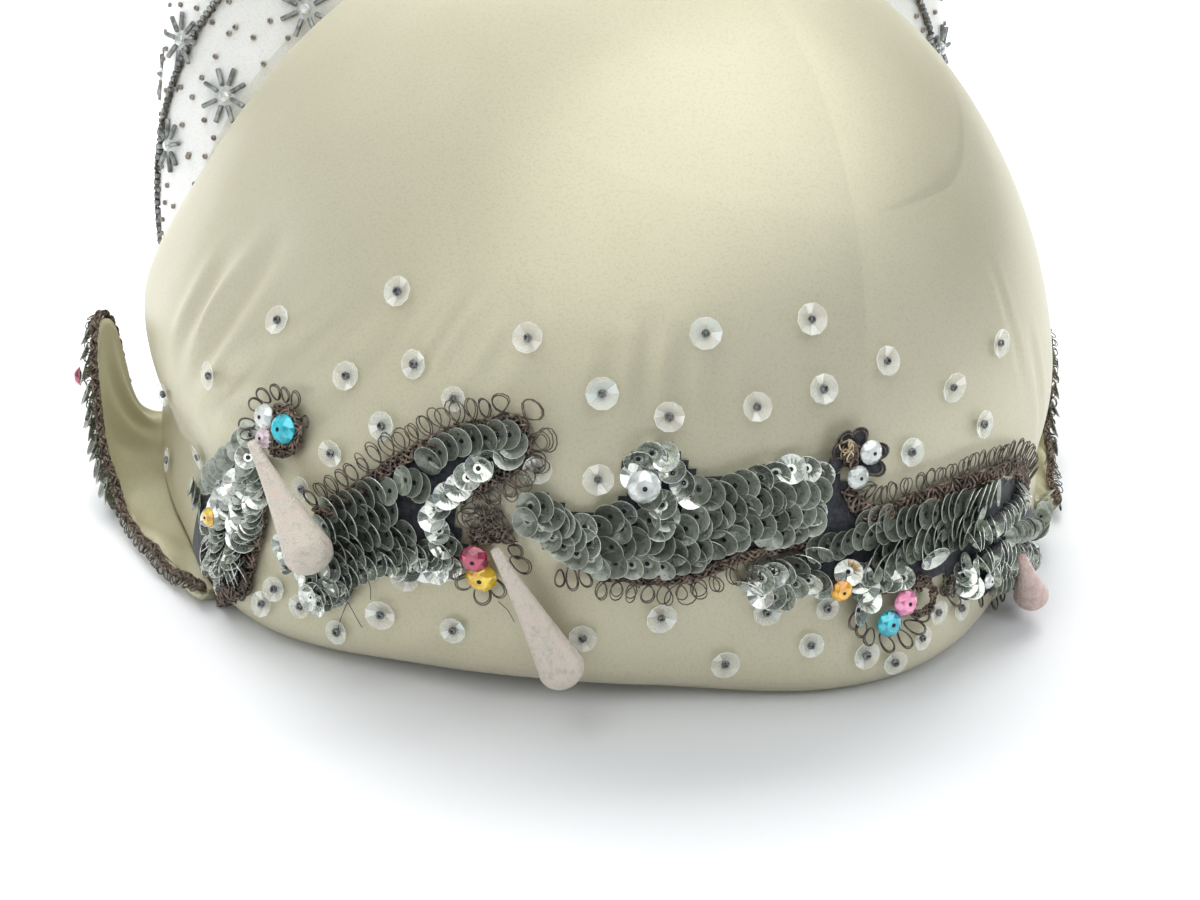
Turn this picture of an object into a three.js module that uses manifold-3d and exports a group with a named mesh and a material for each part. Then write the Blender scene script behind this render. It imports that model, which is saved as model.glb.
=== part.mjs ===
// A hennin headdress: a padded satin crown with a sewn sequin trim round the brow, two upturned
// flaps, and a beaded white hood that rises behind it to a cone. Millimetres, +Z up, the front
// towards -Y. The whole hat's box stands centred on the origin, on the plane z = 0.
import * as THREE from 'three';
import { mergeVertices } from 'three/addons/utils/BufferGeometryUtils.js';
import Module from 'manifold-3d';

const wasm = await Module();
wasm.setup();

// Driving dimensions of the padded crown
const CROWN = {
  halfWidth: 109,
  front: 123,
  back: 93,
  height: 131,
  lean: -0.116, // how far each level moves along Y for each mm of height
  drift: 0.035, // how far each level moves along X for each mm of height
  wall: 14, // thickness of the wadding and its covers
  lip: 6, // radius of the rounded outer edge below
  innerLip: 4, // radius of the rounded inner edge below
};
const FRONT_POWER = 2.2; // how square the brow is in plan, 2 being an ellipse
const SEAM_Y = 30; // where the crown ends and the white hood begins
const SEAM_GAP = 0.3;
const CLOTH = 2; // thickness of the hood's and the flaps' cloth
const CLEAR = 0.35; // clearance between a sewn piece and what it lies on
const FAR = 450; // further than any point of the hat

// Small departures of the crown from an even dome
const WAIST = { height: 22, spread: 11, atFront: 2, atSides: 3 }; // the groove that holds the trim
const SIDE_TUCK = { size: 4, height: 34 }; // how far the sides draw in under the bulge
const BROW_SWELLS = [
  { angle: 17, size: 7, reach: 24 },
  { angle: -46, size: 4, reach: 20 },
];
const BROW_LIFT = { angle: -18, size: 3, reach: 28 }; // the edge stands clear of the table here
const SIDE_BULGE = { angle: -88, reach: 60, height: 42, spread: 20, size: 4 };

// The hood and cone: rings from the seam to the tip. x, y and z place the centre, tilt leans the ring
const HOOD_RINGS = [
  { x: 0, y: 30, z: 0, tilt: 0, halfWidth: 102, halfHeight: 115 },
  { x: 4, y: 49, z: 22, tilt: 9, halfWidth: 107, halfHeight: 107 },
  { x: 7, y: 66, z: 50, tilt: 20, halfWidth: 109, halfHeight: 99 },
  { x: 10, y: 87, z: 84, tilt: 36, halfWidth: 104, halfHeight: 90 },
  { x: 12, y: 110, z: 130, tilt: 49, halfWidth: 83, halfHeight: 76 },
  { x: 13, y: 141, z: 188, tilt: 56, halfWidth: 58, halfHeight: 55 },
  { x: 13, y: 176, z: 247, tilt: 59, halfWidth: 33, halfHeight: 33 },
  { x: 13, y: 203, z: 293, tilt: 60, halfWidth: 14, halfHeight: 14 },
  { x: 13, y: 213, z: 310, tilt: 60, halfWidth: 5, halfHeight: 5 },
];
const HOOD_POWER = 2.2;
const UPRIGHT_ROWS = 2.5; // past the first row, how many rows the hood's front stands upright for
const HOOD_SIDES = 36;

// The flaps, as rows from the brow to the back: where the cloth leaves the crown, and its free edge
const LEFT_FLAP = [
  { angle: -52, edgeX: -96, edgeY: -75, edgeZ: 3 },
  { angle: -58, edgeX: -104, edgeY: -61, edgeZ: 3 },
  { angle: -66, edgeX: -111.5, edgeY: -43, edgeZ: 4 },
  { angle: -74, edgeX: -116, edgeY: -27, edgeZ: 10 },
  { angle: -81, edgeX: -117.5, edgeY: -18, edgeZ: 25 },
  { angle: -87, edgeX: -116.5, edgeY: -10, edgeZ: 36 },
  { angle: -92, edgeX: -114, edgeY: -2, edgeZ: 32 },
  { angle: -97, edgeX: -112, edgeY: 6, edgeZ: 12 },
];
const RIGHT_FLAP = [
  { angle: 58, edgeX: 100, edgeY: -66, edgeZ: 3 },
  { angle: 64, edgeX: 104.5, edgeY: -54, edgeZ: 4 },
  { angle: 71, edgeX: 109, edgeY: -41, edgeZ: 9 },
  { angle: 78, edgeX: 112.5, edgeY: -31, edgeZ: 20 },
  { angle: 84, edgeX: 114, edgeY: -23, edgeZ: 27 },
  { angle: 90, edgeX: 113.5, edgeY: -11, edgeZ: 23 },
  { angle: 97, edgeX: 112, edgeY: 3, edgeZ: 10 },
];
const FLAP_FOOT = 1.4; // height of the flap's foot above the table, to the middle of the cloth
const FLAP_JOIN = 2.6; // height of the line on the crown's lip that the flap is sewn to
const FLAP_ROWS_BETWEEN = 2;
const FLAP_BRAID_CLEAR = 0.8;
const FLAP_STEPS = 4;

// Sequined leaves and bands: the middle line by angle and height on the crown, and the half width
const LEAVES = {
  leaf_left: [
    { angle: -53.5, height: 36, half: 2 },
    { angle: -54.5, height: 29, half: 5.5 },
    { angle: -53.5, height: 21, half: 7.2 },
    { angle: -51.5, height: 13.5, half: 6 },
    { angle: -50, height: 8, half: 3 },
  ],
  leaf_mid: [
    { angle: -38.5, height: 24, half: 3 },
    { angle: -36.2, height: 30, half: 5 },
    { angle: -33.6, height: 37, half: 5.4 },
    { angle: -30.2, height: 44, half: 5 },
    { angle: -26.5, height: 50, half: 4 },
    { angle: -22, height: 53, half: 4 },
  ],
  leaf_mid_border: [
    { angle: -39, height: 14, half: 2.4 },
    { angle: -36.5, height: 16.5, half: 3 },
    { angle: -33, height: 21, half: 3 },
    { angle: -29.5, height: 27, half: 3.2 },
    { angle: -27, height: 34, half: 3 },
    { angle: -25.5, height: 40.5, half: 2.4 },
  ],
  band_mid: [
    { angle: -18.5, height: 40, half: 3 },
    { angle: -15.5, height: 36, half: 5 },
    { angle: -11.5, height: 35, half: 7 },
    { angle: -7, height: 35.5, half: 8 },
    { angle: -2.5, height: 38, half: 8 },
    { angle: 2, height: 40, half: 7.5 },
    { angle: 6, height: 41, half: 6.5 },
    { angle: 9, height: 42, half: 4 },
  ],
  cluster_mid: [
    { angle: -11, height: 48, half: 2.4 },
    { angle: -9, height: 51.5, half: 3.4 },
    { angle: -6, height: 52, half: 3.4 },
    { angle: -4, height: 50.5, half: 2 },
  ],
  leaf_right: [
    { angle: 1.5, height: 22.5, half: 3 },
    { angle: 5, height: 23.5, half: 4 },
    { angle: 10, height: 27, half: 4.5 },
    { angle: 15, height: 30, half: 5 },
    { angle: 20.5, height: 31, half: 5 },
    { angle: 26, height: 31.5, half: 5 },
    { angle: 31, height: 31, half: 3.5 },
  ],
  leaf_right_border: [
    { angle: 35.5, height: 33, half: 2 },
    { angle: 36, height: 27, half: 2.6 },
    { angle: 34, height: 21.5, half: 2.6 },
    { angle: 30.5, height: 19, half: 2 },
  ],
  cluster_right: [
    { angle: 26.5, height: 12.5, half: 2.4 },
    { angle: 29.5, height: 13.2, half: 2.8 },
    { angle: 34, height: 14, half: 2.8 },
    { angle: 39.5, height: 15, half: 2.4 },
  ],
  cluster_low: [
    { angle: 8.5, height: 17.5, half: 1.6 },
    { angle: 11.5, height: 17.5, half: 2.8 },
    { angle: 14, height: 13.5, half: 2.6 },
  ],
  strip_side: [
    { angle: 43.5, height: 12, half: 2.2 },
    { angle: 47.5, height: 11, half: 3 },
    { angle: 51.5, height: 13, half: 3.2 },
    { angle: 54.5, height: 18, half: 2.6 },
  ],
};
const LEAF_THICK = 3.2;

// Gimp braids: the middle line by angle and height on the crown
const GIMPS = {
  gimp_left: [
    { angle: -49.3, height: 36 },
    { angle: -47, height: 29 },
    { angle: -45.5, height: 21 },
    { angle: -45, height: 13 },
    { angle: -46.5, height: 6 },
  ],
  gimp_mid: [
    { angle: -41.5, height: 30 },
    { angle: -39.2, height: 38.5 },
    { angle: -35.3, height: 46.5 },
    { angle: -31, height: 52.6 },
    { angle: -26.3, height: 57 },
    { angle: -21.3, height: 59.6 },
    { angle: -18, height: 56.5 },
    { angle: -18.4, height: 50.5 },
    { angle: -21, height: 46.5 },
    { angle: -23, height: 42 },
    { angle: -23.6, height: 38.7 },
  ],
  gimp_knot: [
    { angle: -24.3, height: 34.8 },
    { angle: -22.4, height: 35.2 },
    { angle: -20.4, height: 35.4 },
  ],
  gimp_low: [
    { angle: -17, height: 29 },
    { angle: -12, height: 25.4 },
    { angle: -6.5, height: 25.4 },
    { angle: -2.5, height: 27.6 },
    { angle: 2.5, height: 30.4 },
    { angle: 7, height: 32.3 },
    { angle: 11, height: 35 },
  ],
  gimp_right: [
    { angle: 11.5, height: 40.5 },
    { angle: 13.5, height: 37.5 },
    { angle: 17, height: 38 },
    { angle: 22, height: 38.3 },
    { angle: 28, height: 38.7 },
    { angle: 33.5, height: 38.5 },
    { angle: 37.5, height: 37 },
    { angle: 39.3, height: 33 },
  ],
};
const GIMP_HALF = 1.4;
const GIMP_THICK = 2.2;

// Rosettes: an open ring of gimp, from one turn to another about its middle
const ROSETTES = {
  rosette_left: { angle: -44.8, height: 45, radius: 5, from: -120, to: 120 },
  rosette_right: { angle: 17, height: 17, radius: 6, from: -50, to: 85 },
};
const ROSETTE_HALF = 1.2;
const ROSETTE_STEPS = 9;

// Stones: place on the crown, radius, and what they stand on
const STONES = {
  stone_turquoise_left: { angle: -44.9, height: 44.8, radius: 2.8, colour: 0x1fb4c6 },
  stone_clear_left: { angle: -48, height: 45.8, radius: 2.3, colour: 0xd9dedb },
  stone_rose_left: { angle: -47.3, height: 41.3, radius: 1.9, colour: 0xc9a9b4 },
  stone_red: { angle: -23.2, height: 30.2, radius: 2.4, colour: 0xa0203a },
  stone_yellow: { angle: -21.7, height: 25, radius: 2.7, colour: 0xe0ad1a },
  stone_clear_upper: { angle: 13.2, height: 49, radius: 2.7, colour: 0xdfe3e0 },
  stone_clear_lower: { angle: 12, height: 44.4, radius: 2.2, colour: 0xd5dad6 },
  stone_orange: { angle: 9.7, height: 25.7, radius: 2.1, colour: 0xe49a1c, above: LEAF_THICK },
  stone_pink: { angle: 17.2, height: 18.3, radius: 2.6, colour: 0xe87ba6 },
  stone_turquoise_right: { angle: 15.7, height: 13.3, radius: 2.5, colour: 0x22b6cc },
  stone_amber_left: { angle: -53, height: 19, radius: 1.9, colour: 0xdda62e, above: LEAF_THICK },
};
const STONE_FACETS = 8;

// Teardrops: the sewn end and the round end, by angle, height and distance from the crown
const DROPS = {
  drop_left: {
    sewn: { angle: -46.7, height: 38, out: 4.6 },
    bulb: { angle: -37.9, height: 27.5, out: 9 },
    radius: 5.2,
    colour: 0xe2d8c8,
  },
  drop_front: {
    sewn: { angle: -20.9, height: 34.5, out: 3.7 },
    bulb: { angle: -14.8, height: 10.5, out: 5.8 },
    radius: 5,
    colour: 0xe2d8c8,
  },
  drop_right: {
    sewn: { angle: 34.5, height: 16.5, out: 5.4 },
    bulb: { angle: 33.6, height: 7.6, out: 6.6 },
    radius: 3.7,
    colour: 0xdcc3bd,
  },
};
const DROP_SEWN_RADIUS = 1;
const DROP_ROWS = 6;
const DROP_SIDES = 12;

// The larger loose sequins on the satin, by angle and height, with a dip where the flat facets lie low
const PAILLETTES = [
  { angle: -51, height: 62 },
  { angle: -36, height: 74 },
  { angle: -59, height: 45, dip: 0.75 },
  { angle: -39, height: 58 },
  { angle: -32, height: 64 },
  { angle: -21, height: 71 },
  { angle: -13, height: 62 },
  { angle: -13, height: 47 },
  { angle: -6, height: 60 },
  { angle: -3, height: 73 },
  { angle: 2, height: 60 },
  { angle: 8, height: 74 },
  { angle: 9, height: 62 },
  { angle: 16, height: 65 },
  { angle: 24, height: 57 },
  { angle: 33, height: 61 },
  { angle: 29, height: 47 },
  { angle: -31, height: 12.5 },
  { angle: -6, height: 18 },
  { angle: 0, height: 9 },
];
const PAILLETTE = { radius: 3.4, thick: 0.5, rise: 0.7, sides: 10 };

// Braids sewn on the white hood: height of each point round a ring, by ring and turn
const HOOD_BRAIDS = {
  hood_edge_braid: { row: 1.5, from: -8, to: 188, scallops: 0 },
  hood_swag_braid: { row: 3.05, from: 12, to: 168, scallops: 5 },
};
const BRAID_RADIUS = 1.3;
const BRAID_STEPS = 32;
const HOOD_BRAID_CLEAR = 0.6;
const SWAG_DEPTH = 0.14;

// The middle of the whole hat's box, measured from the middle of the crown
const MIDDLE = { x: -0.6, y: 43.7 };

const SATIN = 0xc8c5ad;
const WHITE_SATIN = 0xf3f2ea;
const GUNMETAL = 0x5d635b;
const SILVER = 0xb4bab2;
const BRONZE = 0x4c3f35;

const degrees = THREE.MathUtils.degToRad;

function smoothStep(value) {
  const t = THREE.MathUtils.clamp(value, 0, 1);
  return t * t * (3 - 2 * t);
}

// A rounded hump of height 1 that falls to nothing at the given reach
function hump(distance, reach) {
  return Math.abs(distance) < reach ? Math.cos((Math.PI * distance) / (2 * reach)) ** 2 : 0;
}

// Distance from the middle line to the plain outline in plan, at an angle from the front
function planRadius(angle, inset) {
  const sideways = Math.abs(Math.sin(degrees(angle)));
  const ahead = Math.cos(degrees(angle));
  const depth = (ahead > 0 ? CROWN.front : CROWN.back) - inset;
  const power = ahead > 0 ? FRONT_POWER : 2;
  const sum = (sideways / (CROWN.halfWidth - inset)) ** power + (Math.abs(ahead) / depth) ** power;
  return sum ** (-1 / power);
}

// A point of the crown, or of its lining when inset is the wall's thickness
function crownSurface(angle, height, inset = 0, edge = 0) {
  const sideways = Math.sin(degrees(angle));
  const ahead = Math.cos(degrees(angle));
  const share = Math.min(Math.max(height, 0) / (CROWN.height - inset), 1);
  const side = sideways ** 6;
  const low = 1 - smoothStep(height / 50);
  const waist = WAIST.atFront + WAIST.atSides * side;
  const groove = waist * Math.exp(-(((height - WAIST.height) / WAIST.spread) ** 2));
  const swell = BROW_SWELLS.reduce((sum, s) => sum + s.size * hump(angle - s.angle, s.reach) * low, 0);
  const tuck = SIDE_TUCK.size * side * (1 - smoothStep(height / SIDE_TUCK.height));
  const bulgeAt = Math.exp(-(((height - SIDE_BULGE.height) / SIDE_BULGE.spread) ** 2));
  const bulge = SIDE_BULGE.size * bulgeAt * hump(angle - SIDE_BULGE.angle, SIDE_BULGE.reach);
  const plain = planRadius(angle, inset) * Math.sqrt(1 - share * share);
  const radius = plain - tuck - groove + swell + bulge - edge;
  const lift = BROW_LIFT.size * hump(angle - BROW_LIFT.angle, BROW_LIFT.reach);
  return new THREE.Vector3(
    radius * sideways + CROWN.drift * height,
    -radius * ahead + CROWN.lean * height,
    height + lift * (1 - smoothStep(height / 40)),
  );
}

// A point at a distance from the crown's outer face, square to it
function crownPoint(angle, height, out = 0) {
  const belowLip = Math.max(CROWN.lip - height, 0);
  const edge = CROWN.lip - Math.sqrt(CROWN.lip ** 2 - belowLip ** 2);
  const point = crownSurface(angle, height, 0, edge);
  const around = crownSurface(angle + 0.5, height).sub(crownSurface(angle - 0.5, height));
  const upward = crownSurface(angle, height + 0.5).sub(crownSurface(angle, height - 0.5));
  return point.addScaledVector(around.cross(upward).normalize(), out);
}

// The same place, with the directions round, up and out of the crown
function crownFrame(angle, height, out) {
  const origin = crownPoint(angle, height, out);
  const around = crownSurface(angle + 0.5, height).sub(crownSurface(angle - 0.5, height)).normalize();
  const upward = crownSurface(angle, height + 0.5).sub(crownSurface(angle, height - 0.5)).normalize();
  const outward = around.clone().cross(upward).normalize();
  return { origin, around, upward: outward.clone().cross(around), outward };
}

// One value between b and c of four evenly spaced ones
function between(a, b, c, d, t) {
  const slopeB = (c - a) / 2;
  const slopeC = (d - b) / 2;
  const bend = 3 * (c - b) - 2 * slopeB - slopeC;
  const twist = 2 * (b - c) + slopeB + slopeC;
  return b + slopeB * t + bend * t * t + twist * t * t * t;
}

// The row of a table of named columns at a place that may lie between two rows
function rowAt(rows, place) {
  const first = Math.min(Math.floor(place), rows.length - 2);
  const four = [-1, 0, 1, 2].map((k) => rows[THREE.MathUtils.clamp(first + k, 0, rows.length - 1)]);
  const mix = (name) => between(...four.map((row) => row[name]), place - first);
  return Object.fromEntries(Object.keys(rows[0]).map((name) => [name, mix(name)]));
}

function smoothRows(rows, stepsBetween) {
  const count = (rows.length - 1) * stepsBetween;
  return Array.from({ length: count + 1 }, (_, k) => rowAt(rows, k / stepsBetween));
}

// Geometry from corner points and triangles, turned so that its faces point out
function closedGeometry(points, faces) {
  let volume = 0;
  for (let k = 0; k < faces.length; k += 3) {
    const [a, b, c] = [points[faces[k]], points[faces[k + 1]], points[faces[k + 2]]];
    volume += a.dot(b.clone().cross(c));
  }
  const geometry = new THREE.BufferGeometry().setFromPoints(points);
  geometry.setIndex(volume < 0 ? faces.slice().reverse() : faces);
  geometry.computeVertexNormals();
  return geometry;
}

// A closed solid through rings of points, with a fan over each end
function loft(rings) {
  const count = rings[0].length;
  const points = rings.flat();
  const faces = [];
  for (let row = 0; row < rings.length - 1; row += 1) {
    for (let k = 0; k < count; k += 1) {
      const a = row * count + k;
      const b = row * count + ((k + 1) % count);
      faces.push(a, b, b + count, a, b + count, a + count);
    }
  }
  const addCap = (ring, start, turned) => {
    const middle = ring.reduce((sum, p) => sum.add(p), new THREE.Vector3()).divideScalar(count);
    points.push(middle);
    for (let k = 0; k < count; k += 1) {
      const next = start + ((k + 1) % count);
      faces.push(points.length - 1, turned ? next : start + k, turned ? start + k : next);
    }
  };
  addCap(rings[0], 0, true);
  addCap(rings[rings.length - 1], (rings.length - 1) * count, false);
  return closedGeometry(points, faces);
}

function solidOf(geometry) {
  const bare = geometry.clone();
  bare.deleteAttribute('normal');
  bare.deleteAttribute('uv');
  const merged = mergeVertices(bare, 1e-4);
  const vertProperties = new Float32Array(merged.attributes.position.array);
  const triVerts = new Uint32Array(merged.index.array);
  return new wasm.Manifold(new wasm.Mesh({ numProp: 3, vertProperties, triVerts }));
}

function geometryOf(solid) {
  const mesh = solid.getMesh();
  const geometry = new THREE.BufferGeometry();
  geometry.setAttribute('position', new THREE.BufferAttribute(new Float32Array(mesh.vertProperties), 3));
  geometry.setIndex(new THREE.BufferAttribute(new Uint32Array(mesh.triVerts), 1));
  geometry.computeVertexNormals();
  return geometry;
}

// A block far larger than the hat, to cut away all that lies past a plane
function block(yMid, zMid) {
  return solidOf(new THREE.BoxGeometry(2 * FAR, 2 * FAR, 2 * FAR).translate(0, yMid, zMid));
}

function cloth(colour, roughness) {
  return new THREE.MeshStandardMaterial({ color: colour, roughness, metalness: 0 });
}

function metal(colour, roughness) {
  return new THREE.MeshStandardMaterial({ color: colour, roughness, metalness: 0.85 });
}

const hat = new THREE.Group();

function addMesh(name, geometry, material) {
  const mesh = new THREE.Mesh(geometry, material);
  mesh.name = name;
  hat.add(mesh);
  return mesh;
}

// The padded crown: a dome with a rounded lip, less its head opening, cut square at the seam
function makeCrown() {
  const sides = 40;
  const levels = 16;
  const ringAt = (height, inset, edge, drop = 0) =>
    Array.from({ length: sides }, (_, k) => {
      const point = crownSurface((k * 360) / sides - 180, height, inset, edge);
      point.z -= drop;
      return point;
    });
  const roundEdge = (radius, steps, inset, sign) =>
    Array.from({ length: steps }, (_, k) => {
      const turn = (k / steps) * (Math.PI / 2);
      return ringAt(radius * (1 - Math.cos(turn)), inset, sign * radius * (1 - Math.sin(turn)));
    });
  const wallRings = (lip, inset) => {
    const top = CROWN.height - inset;
    const start = Math.asin(lip / top);
    return Array.from({ length: levels }, (_, k) => {
      const turn = start + (Math.PI / 2 - start) * (k / levels) ** 0.9;
      return ringAt(top * Math.sin(turn), inset, 0);
    });
  };
  const outer = loft([...roundEdge(CROWN.lip, 4, 0, 1), ...wallRings(CROWN.lip, 0)]);
  const mouth = ringAt(0, CROWN.wall, -CROWN.innerLip, 8);
  const lining = [...roundEdge(CROWN.innerLip, 3, CROWN.wall, -1), ...wallRings(CROWN.innerLip, CROWN.wall)];
  const inner = loft([mouth, ...lining]);
  const behind = block(SEAM_Y + FAR, 0);
  const shell = solidOf(outer).subtract(solidOf(inner)).subtract(behind);
  addMesh('crown', geometryOf(shell), cloth(SATIN, 0.38));
}

// A point of the hood at a place along its rings and a turn round them, 90 degrees being the top
function hoodPoint(place, turn, inset = 0) {
  const ring = rowAt(HOOD_RINGS, place);
  const cosine = Math.cos(degrees(turn));
  const sine = Math.sin(degrees(turn));
  const power = 2 / HOOD_POWER;
  const across = Math.sign(cosine) * Math.abs(cosine) ** power * (ring.halfWidth - inset);
  const above = Math.sign(sine) * Math.abs(sine) ** power * (ring.halfHeight - inset);
  const tilt = degrees(ring.tilt);
  const behind = inset * (1 - smoothStep((place - 1) / UPRIGHT_ROWS));
  return new THREE.Vector3(
    ring.x + across,
    ring.y + behind - above * Math.sin(tilt),
    ring.z + above * Math.cos(tilt),
  );
}

// A point at a distance from the hood's outer face, square to it
function hoodOut(place, turn, out) {
  const around = hoodPoint(place, turn + 1).sub(hoodPoint(place, turn - 1));
  const onward = hoodPoint(place + 0.05, turn).sub(hoodPoint(place - 0.05, turn));
  return hoodPoint(place, turn).addScaledVector(onward.cross(around).normalize(), out);
}

function hoodSkin(inset, lastPlace) {
  const steps = 14;
  const rings = Array.from({ length: steps + 1 }, (_, row) =>
    Array.from({ length: HOOD_SIDES }, (_, k) =>
      hoodPoint((row / steps) * lastPlace, (k * 360) / HOOD_SIDES, inset),
    ),
  );
  const lead = inset > 0 ? 6 : 0;
  const mouth = rings[0].map((p) => new THREE.Vector3(p.x, p.y - lead, p.z));
  return lead ? [mouth, ...rings] : rings;
}

function makeHood() {
  const outer = solidOf(loft(hoodSkin(0, HOOD_RINGS.length - 1)));
  const inner = solidOf(loft(hoodSkin(CLOTH, HOOD_RINGS.length - 1.6)));
  const inFront = block(SEAM_Y + SEAM_GAP - FAR, 0);
  const below = block(0, -FAR);
  const shell = outer.subtract(inner).subtract(inFront).subtract(below);
  addMesh('cone', geometryOf(shell), cloth(WHITE_SATIN, 0.5));
}

// A round braid along a path of points
function cordGeometry(points, radius, steps) {
  const path = new THREE.CatmullRomCurve3(points);
  const section = new THREE.Shape();
  const sides = 6;
  for (let k = 0; k < sides; k += 1) {
    const turn = (k / sides) * Math.PI * 2;
    if (k === 0) section.moveTo(radius * Math.cos(turn), radius * Math.sin(turn));
    else section.lineTo(radius * Math.cos(turn), radius * Math.sin(turn));
  }
  return new THREE.ExtrudeGeometry(section, { steps, extrudePath: path, bevelEnabled: false });
}

function makeHoodBraids() {
  for (const [name, braid] of Object.entries(HOOD_BRAIDS)) {
    const points = Array.from({ length: BRAID_STEPS + 1 }, (_, k) => {
      const share = k / BRAID_STEPS;
      const swag = Math.abs(Math.sin(share * braid.scallops * Math.PI)) * SWAG_DEPTH;
      const turn = braid.from + (braid.to - braid.from) * share;
      return hoodOut(braid.row - swag, turn, BRAID_RADIUS + HOOD_BRAID_CLEAR);
    });
    addMesh(name, cordGeometry(points, BRAID_RADIUS, BRAID_STEPS), metal(BRONZE, 0.6));
  }
}

// The middle of a flap's cloth: it leaves the crown flat on the table and curls up to its edge
function flapPoint(row, share) {
  const foot = crownPoint(row.angle, FLAP_JOIN, CLEAR);
  foot.z = FLAP_FOOT;
  const edge = new THREE.Vector3(row.edgeX, row.edgeY, row.edgeZ);
  const floor = Math.min(FLAP_FOOT, row.edgeZ);
  const elbow = new THREE.Vector3(row.edgeX, row.edgeY, floor).lerp(edge, 0.12);
  const a = foot.clone().lerp(elbow, share);
  const b = elbow.clone().lerp(edge, share);
  return a.lerp(b, share);
}

function makeFlap(name, table) {
  const rows = smoothRows(table, FLAP_ROWS_BETWEEN);
  const half = CLOTH / 2;
  const rings = rows.map((row, k) => {
    const ahead = rows[Math.min(k + 1, rows.length - 1)];
    const before = rows[Math.max(k - 1, 0)];
    const near = [];
    const far = [];
    for (let step = 0; step <= FLAP_STEPS; step += 1) {
      const share = step / FLAP_STEPS;
      const point = flapPoint(row, share);
      const along = flapPoint(ahead, share).sub(flapPoint(before, share));
      const across = flapPoint(row, Math.min(share + 0.1, 1)).sub(flapPoint(row, Math.max(share - 0.1, 0)));
      const outward = along.cross(across).normalize();
      near.push(point.clone().addScaledVector(outward, half));
      far.unshift(point.clone().addScaledVector(outward, -half));
    }
    return [...near, ...far];
  });
  addMesh(name, loft(rings), cloth(SATIN, 0.42));
  makeFlapBraid(name, rows);
}

function makeFlapBraid(name, rows) {
  const points = rows.map((row, k) => {
    const ahead = flapPoint(rows[Math.min(k + 1, rows.length - 1)], 1);
    const along = ahead.sub(flapPoint(rows[Math.max(k - 1, 0)], 1)).normalize();
    const edge = flapPoint(row, 1);
    const outward = edge.clone().sub(flapPoint(row, 0.8));
    outward.addScaledVector(along, -outward.dot(along)).normalize();
    return edge.addScaledVector(outward, BRAID_RADIUS + FLAP_BRAID_CLEAR);
  });
  addMesh(`${name}_braid`, cordGeometry(points, BRAID_RADIUS, rows.length - 1), metal(BRONZE, 0.6));
}

// Millimetres along the brow for a degree of angle, near enough for the width of a narrow band
const BROW_DEGREE = 2.05;

// A band on the crown that follows it below and is domed above
function bandOnCrown(rows, thick, across, stepsBetween) {
  const path = smoothRows(rows, stepsBetween);
  return loft(
    path.map((row, k) => {
      const ahead = path[Math.min(k + 1, path.length - 1)];
      const before = path[Math.max(k - 1, 0)];
      const heading = new THREE.Vector2(
        (ahead.angle - before.angle) * BROW_DEGREE,
        ahead.height - before.height,
      ).normalize();
      const place = (share, out) => {
        const angle = row.angle - (share * row.half * heading.y) / BROW_DEGREE;
        return crownPoint(angle, row.height + share * row.half * heading.x, out);
      };
      const under = across.map((share) => place(share, CLEAR));
      const over = across.map((share) => place(share, CLEAR + thick * (1 - 0.6 * share * share)));
      return [...under, ...over.reverse()];
    }),
  );
}

function makeTrim() {
  for (const [name, rows] of Object.entries(LEAVES)) {
    const bright = name.includes('cluster') || name.includes('border');
    const geometry = bandOnCrown(rows, LEAF_THICK, [-1, -0.55, 0, 0.55, 1], 2);
    addMesh(name, geometry, metal(bright ? SILVER : GUNMETAL, 0.35));
  }
  for (const [name, path] of Object.entries(GIMPS)) {
    const rows = path.map((row) => ({ ...row, half: GIMP_HALF }));
    addMesh(name, bandOnCrown(rows, GIMP_THICK, [-1, 0, 1], 2), metal(BRONZE, 0.6));
  }
}

function makeRosettes() {
  for (const [name, ring] of Object.entries(ROSETTES)) {
    const rows = Array.from({ length: ROSETTE_STEPS + 1 }, (_, k) => {
      const turn = degrees(ring.from + ((ring.to - ring.from) * k) / ROSETTE_STEPS);
      const angle = ring.angle + (ring.radius * Math.cos(turn)) / BROW_DEGREE;
      return { angle, height: ring.height + ring.radius * Math.sin(turn), half: ROSETTE_HALF };
    });
    addMesh(name, bandOnCrown(rows, GIMP_THICK, [-1, 0, 1], 1), metal(BRONZE, 0.6));
  }
}

// Puts a piece made along +Z on the crown, its axis square to the satin
function seat(mesh, place, out) {
  const frame = crownFrame(place.angle, place.height, out);
  const turn = new THREE.Matrix4().makeBasis(frame.around, frame.upward, frame.outward);
  mesh.position.copy(frame.origin);
  mesh.quaternion.setFromRotationMatrix(turn);
}

// A cut stone: a flat back, a girdle, and facets up to its table
function makeStones() {
  for (const [name, stone] of Object.entries(STONES)) {
    const r = stone.radius;
    const profile = [
      [0, 0],
      [0.75 * r, 0],
      [r, 0.35 * r],
      [0.58 * r, 0.85 * r],
      [0, 0.85 * r],
    ].map(([x, y]) => new THREE.Vector2(x, y));
    const geometry = new THREE.LatheGeometry(profile, STONE_FACETS).rotateX(Math.PI / 2);
    const material = new THREE.MeshStandardMaterial({ color: stone.colour, roughness: 0.12 });
    seat(addMesh(name, geometry, material), stone, CLEAR + (stone.above ? stone.above + CLEAR : 0));
  }
}

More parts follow.
